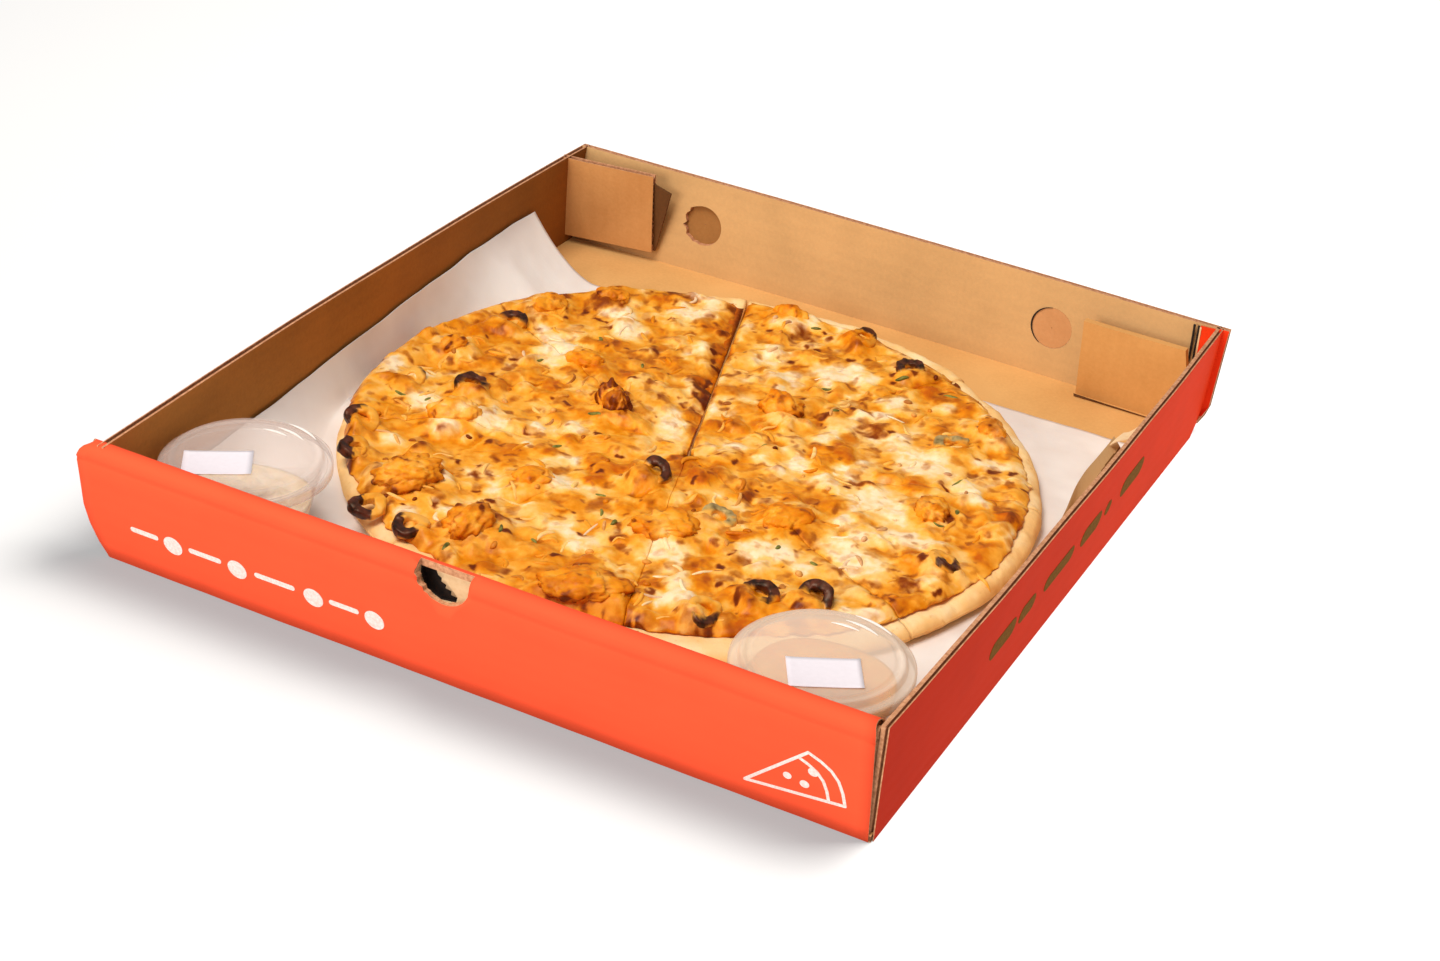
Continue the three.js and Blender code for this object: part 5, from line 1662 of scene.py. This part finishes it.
    def label(self, side, paper):
        """A bare sticker: its corners are the solid's, its edges lift a little."""
        solid = solid_of(f"pot_{side}_label")
        flat = solid[solid[:, 2] < solid[:, 2].mean()][:, :2]
        middle = flat.mean(0)
        order = np.argsort(np.arctan2(*(flat - middle).T[::-1]))
        corners = []
        for point in flat[order]:
            if not corners or np.linalg.norm(point - corners[-1]) > 1:
                corners.append(point)
        u, v = unit_grid(15, 11)
        low = solid[:, 2].min() - 0.28
        curl = 0.25 * (np.abs(2 * u - 1) ** 6 + np.abs(2 * v - 1) ** 6)
        under = np.concatenate([spanned(corners[:4], u, v), (low + curl)[..., None]], -1)
        sticker = slab(under + [0, 0, 0.12], under)
        piece(f"label_{side}", sticker, [paper], [f"pot_{side}_label"])


class PIZZA_OT_stage(bpy.types.Operator):
    """Set the pale floor, soft studio lights and the camera"""

    bl_idname = "pizza.stage"
    bl_label = "Stage"

    def execute(self, context):
        scene = context.scene
        values = scene.pizza.stage
        scene.view_settings.view_transform = "Standard"
        mesh = bpy.data.meshes.new("floor")
        far = 8.0
        mesh.from_pydata([[-far, -far, 0], [far, -far, 0], [far, far, 0], [-far, far, 0]], [], [[0, 1, 2, 3]])
        mesh.materials.append(self.backdrop_paper())
        floor = placed("floor", mesh)

        world = bpy.data.worlds.new("surround")
        world.use_nodes = True
        world.node_tree.nodes["Background"].inputs[0].default_value = WHITE
        world.node_tree.nodes["Background"].inputs[1].default_value = values.sky
        scene.world = world

        key = self.softbox("key", (-0.18, -0.8, 1.6), 0.8, values.key)
        front = self.softbox("front", (-0.55, -1.7, 0.55), 0.9, values.front)
        backdrop = self.softbox("backdrop", (0.6, 0.5, 1.5), 1.0, values.backdrop)
        self.link(key, floor, "EXCLUDE")
        self.link(front, floor, "EXCLUDE")
        self.link(backdrop, floor, "INCLUDE")
        self.camera(scene)
        return {"FINISHED"}

    def backdrop_paper(self):
        """Matt white paper that glows a little, as when it is lit from behind."""
        made, _, _ = start("Backdrop paper, matt white")
        return finish(made, {"Base Color": (0.13, 0.13, 0.13, 1), "Roughness": 1.0, "Specular IOR Level": 0.0,
                             "Emission Color": WHITE, "Emission Strength": 0.42})

    def softbox(self, name, place, size, power):
        """A square soft light that faces the tray."""
        light = bpy.data.lights.new(name, "AREA")
        light.energy, light.size, light.color = power, size, (1.0, 0.96, 0.91)
        lamp = placed(name, light)
        lamp.location = place
        lamp.rotation_euler = (-Vector(place)).to_track_quat("-Z", "Y").to_euler()
        return lamp

    def link(self, lamp, floor, state):
        """The floor is lit on its own, so that its soft shadow falls to the front and the left."""
        lit = bpy.data.collections.new(f"lit by {lamp.name}")
        lit.objects.link(floor)
        lit.collection_objects[0].light_linking.link_state = state
        lamp.light_linking.receiver_collection = lit

    def camera(self, scene):
        """A long lens from the front right, above the tray, held a little askew."""
        data = bpy.data.cameras.new("camera")
        data.sensor_width, data.lens = 36.0, 60.28
        data.shift_x, data.shift_y = -0.0389, 0.0046
        yaw, pitch, roll = (math.radians(a) for a in (24.19, 30.04, 5.25))
        ahead = Vector((-math.sin(yaw) * math.cos(pitch), math.cos(yaw) * math.cos(pitch), -math.sin(pitch)))
        right = Vector((math.cos(yaw), math.sin(yaw), 0))
        up = right.cross(ahead)
        tilted_right = math.cos(roll) * right + math.sin(roll) * up
        tilted_up = -math.sin(roll) * right + math.cos(roll) * up
        place = (Vector((387.6, -771.5, 502.5)) - Vector(CENTRE)) * MM
        turn = Matrix((tilted_right, tilted_up, -ahead)).transposed().to_4x4()
        camera = placed("camera", data)
        camera.matrix_world = Matrix.Translation(place) @ turn
        scene.camera = camera


OPERATORS = [PIZZA_OT_stage, PIZZA_OT_tray, PIZZA_OT_flaps, PIZZA_OT_print, PIZZA_OT_paper, PIZZA_OT_crusts,
             PIZZA_OT_toppings, PIZZA_OT_chicken, PIZZA_OT_olives, PIZZA_OT_strands, PIZZA_OT_pots]


class PIZZA_PT_panel(bpy.types.Panel):
    """Lists the steps and their settings"""

    bl_idname = "PIZZA_PT_panel"
    bl_label = "Pizza"
    bl_space_type = "VIEW_3D"
    bl_region_type = "UI"
    bl_category = "Pizza"

    def draw(self, context):
        for group in SETTINGS:
            held = getattr(context.scene.pizza, group)
            box = self.layout.box()
            for key in type(held).__annotations__:
                box.prop(held, key)
        for operator in OPERATORS:
            self.layout.operator(operator.bl_idname)


CLASSES = [*SETTINGS.values(), PizzaSettings, *OPERATORS, PIZZA_PT_panel]


def register():
    for made in CLASSES:
        bpy.utils.register_class(made)
    bpy.types.Scene.pizza = PointerProperty(type=PizzaSettings)


def unregister():
    del bpy.types.Scene.pizza
    for made in reversed(CLASSES):
        bpy.utils.unregister_class(made)


def main():
    register()
    for operator in OPERATORS:
        group, name = operator.bl_idname.split(".")
        getattr(getattr(bpy.ops, group), name)()


if __name__ == "__main__":
    main()
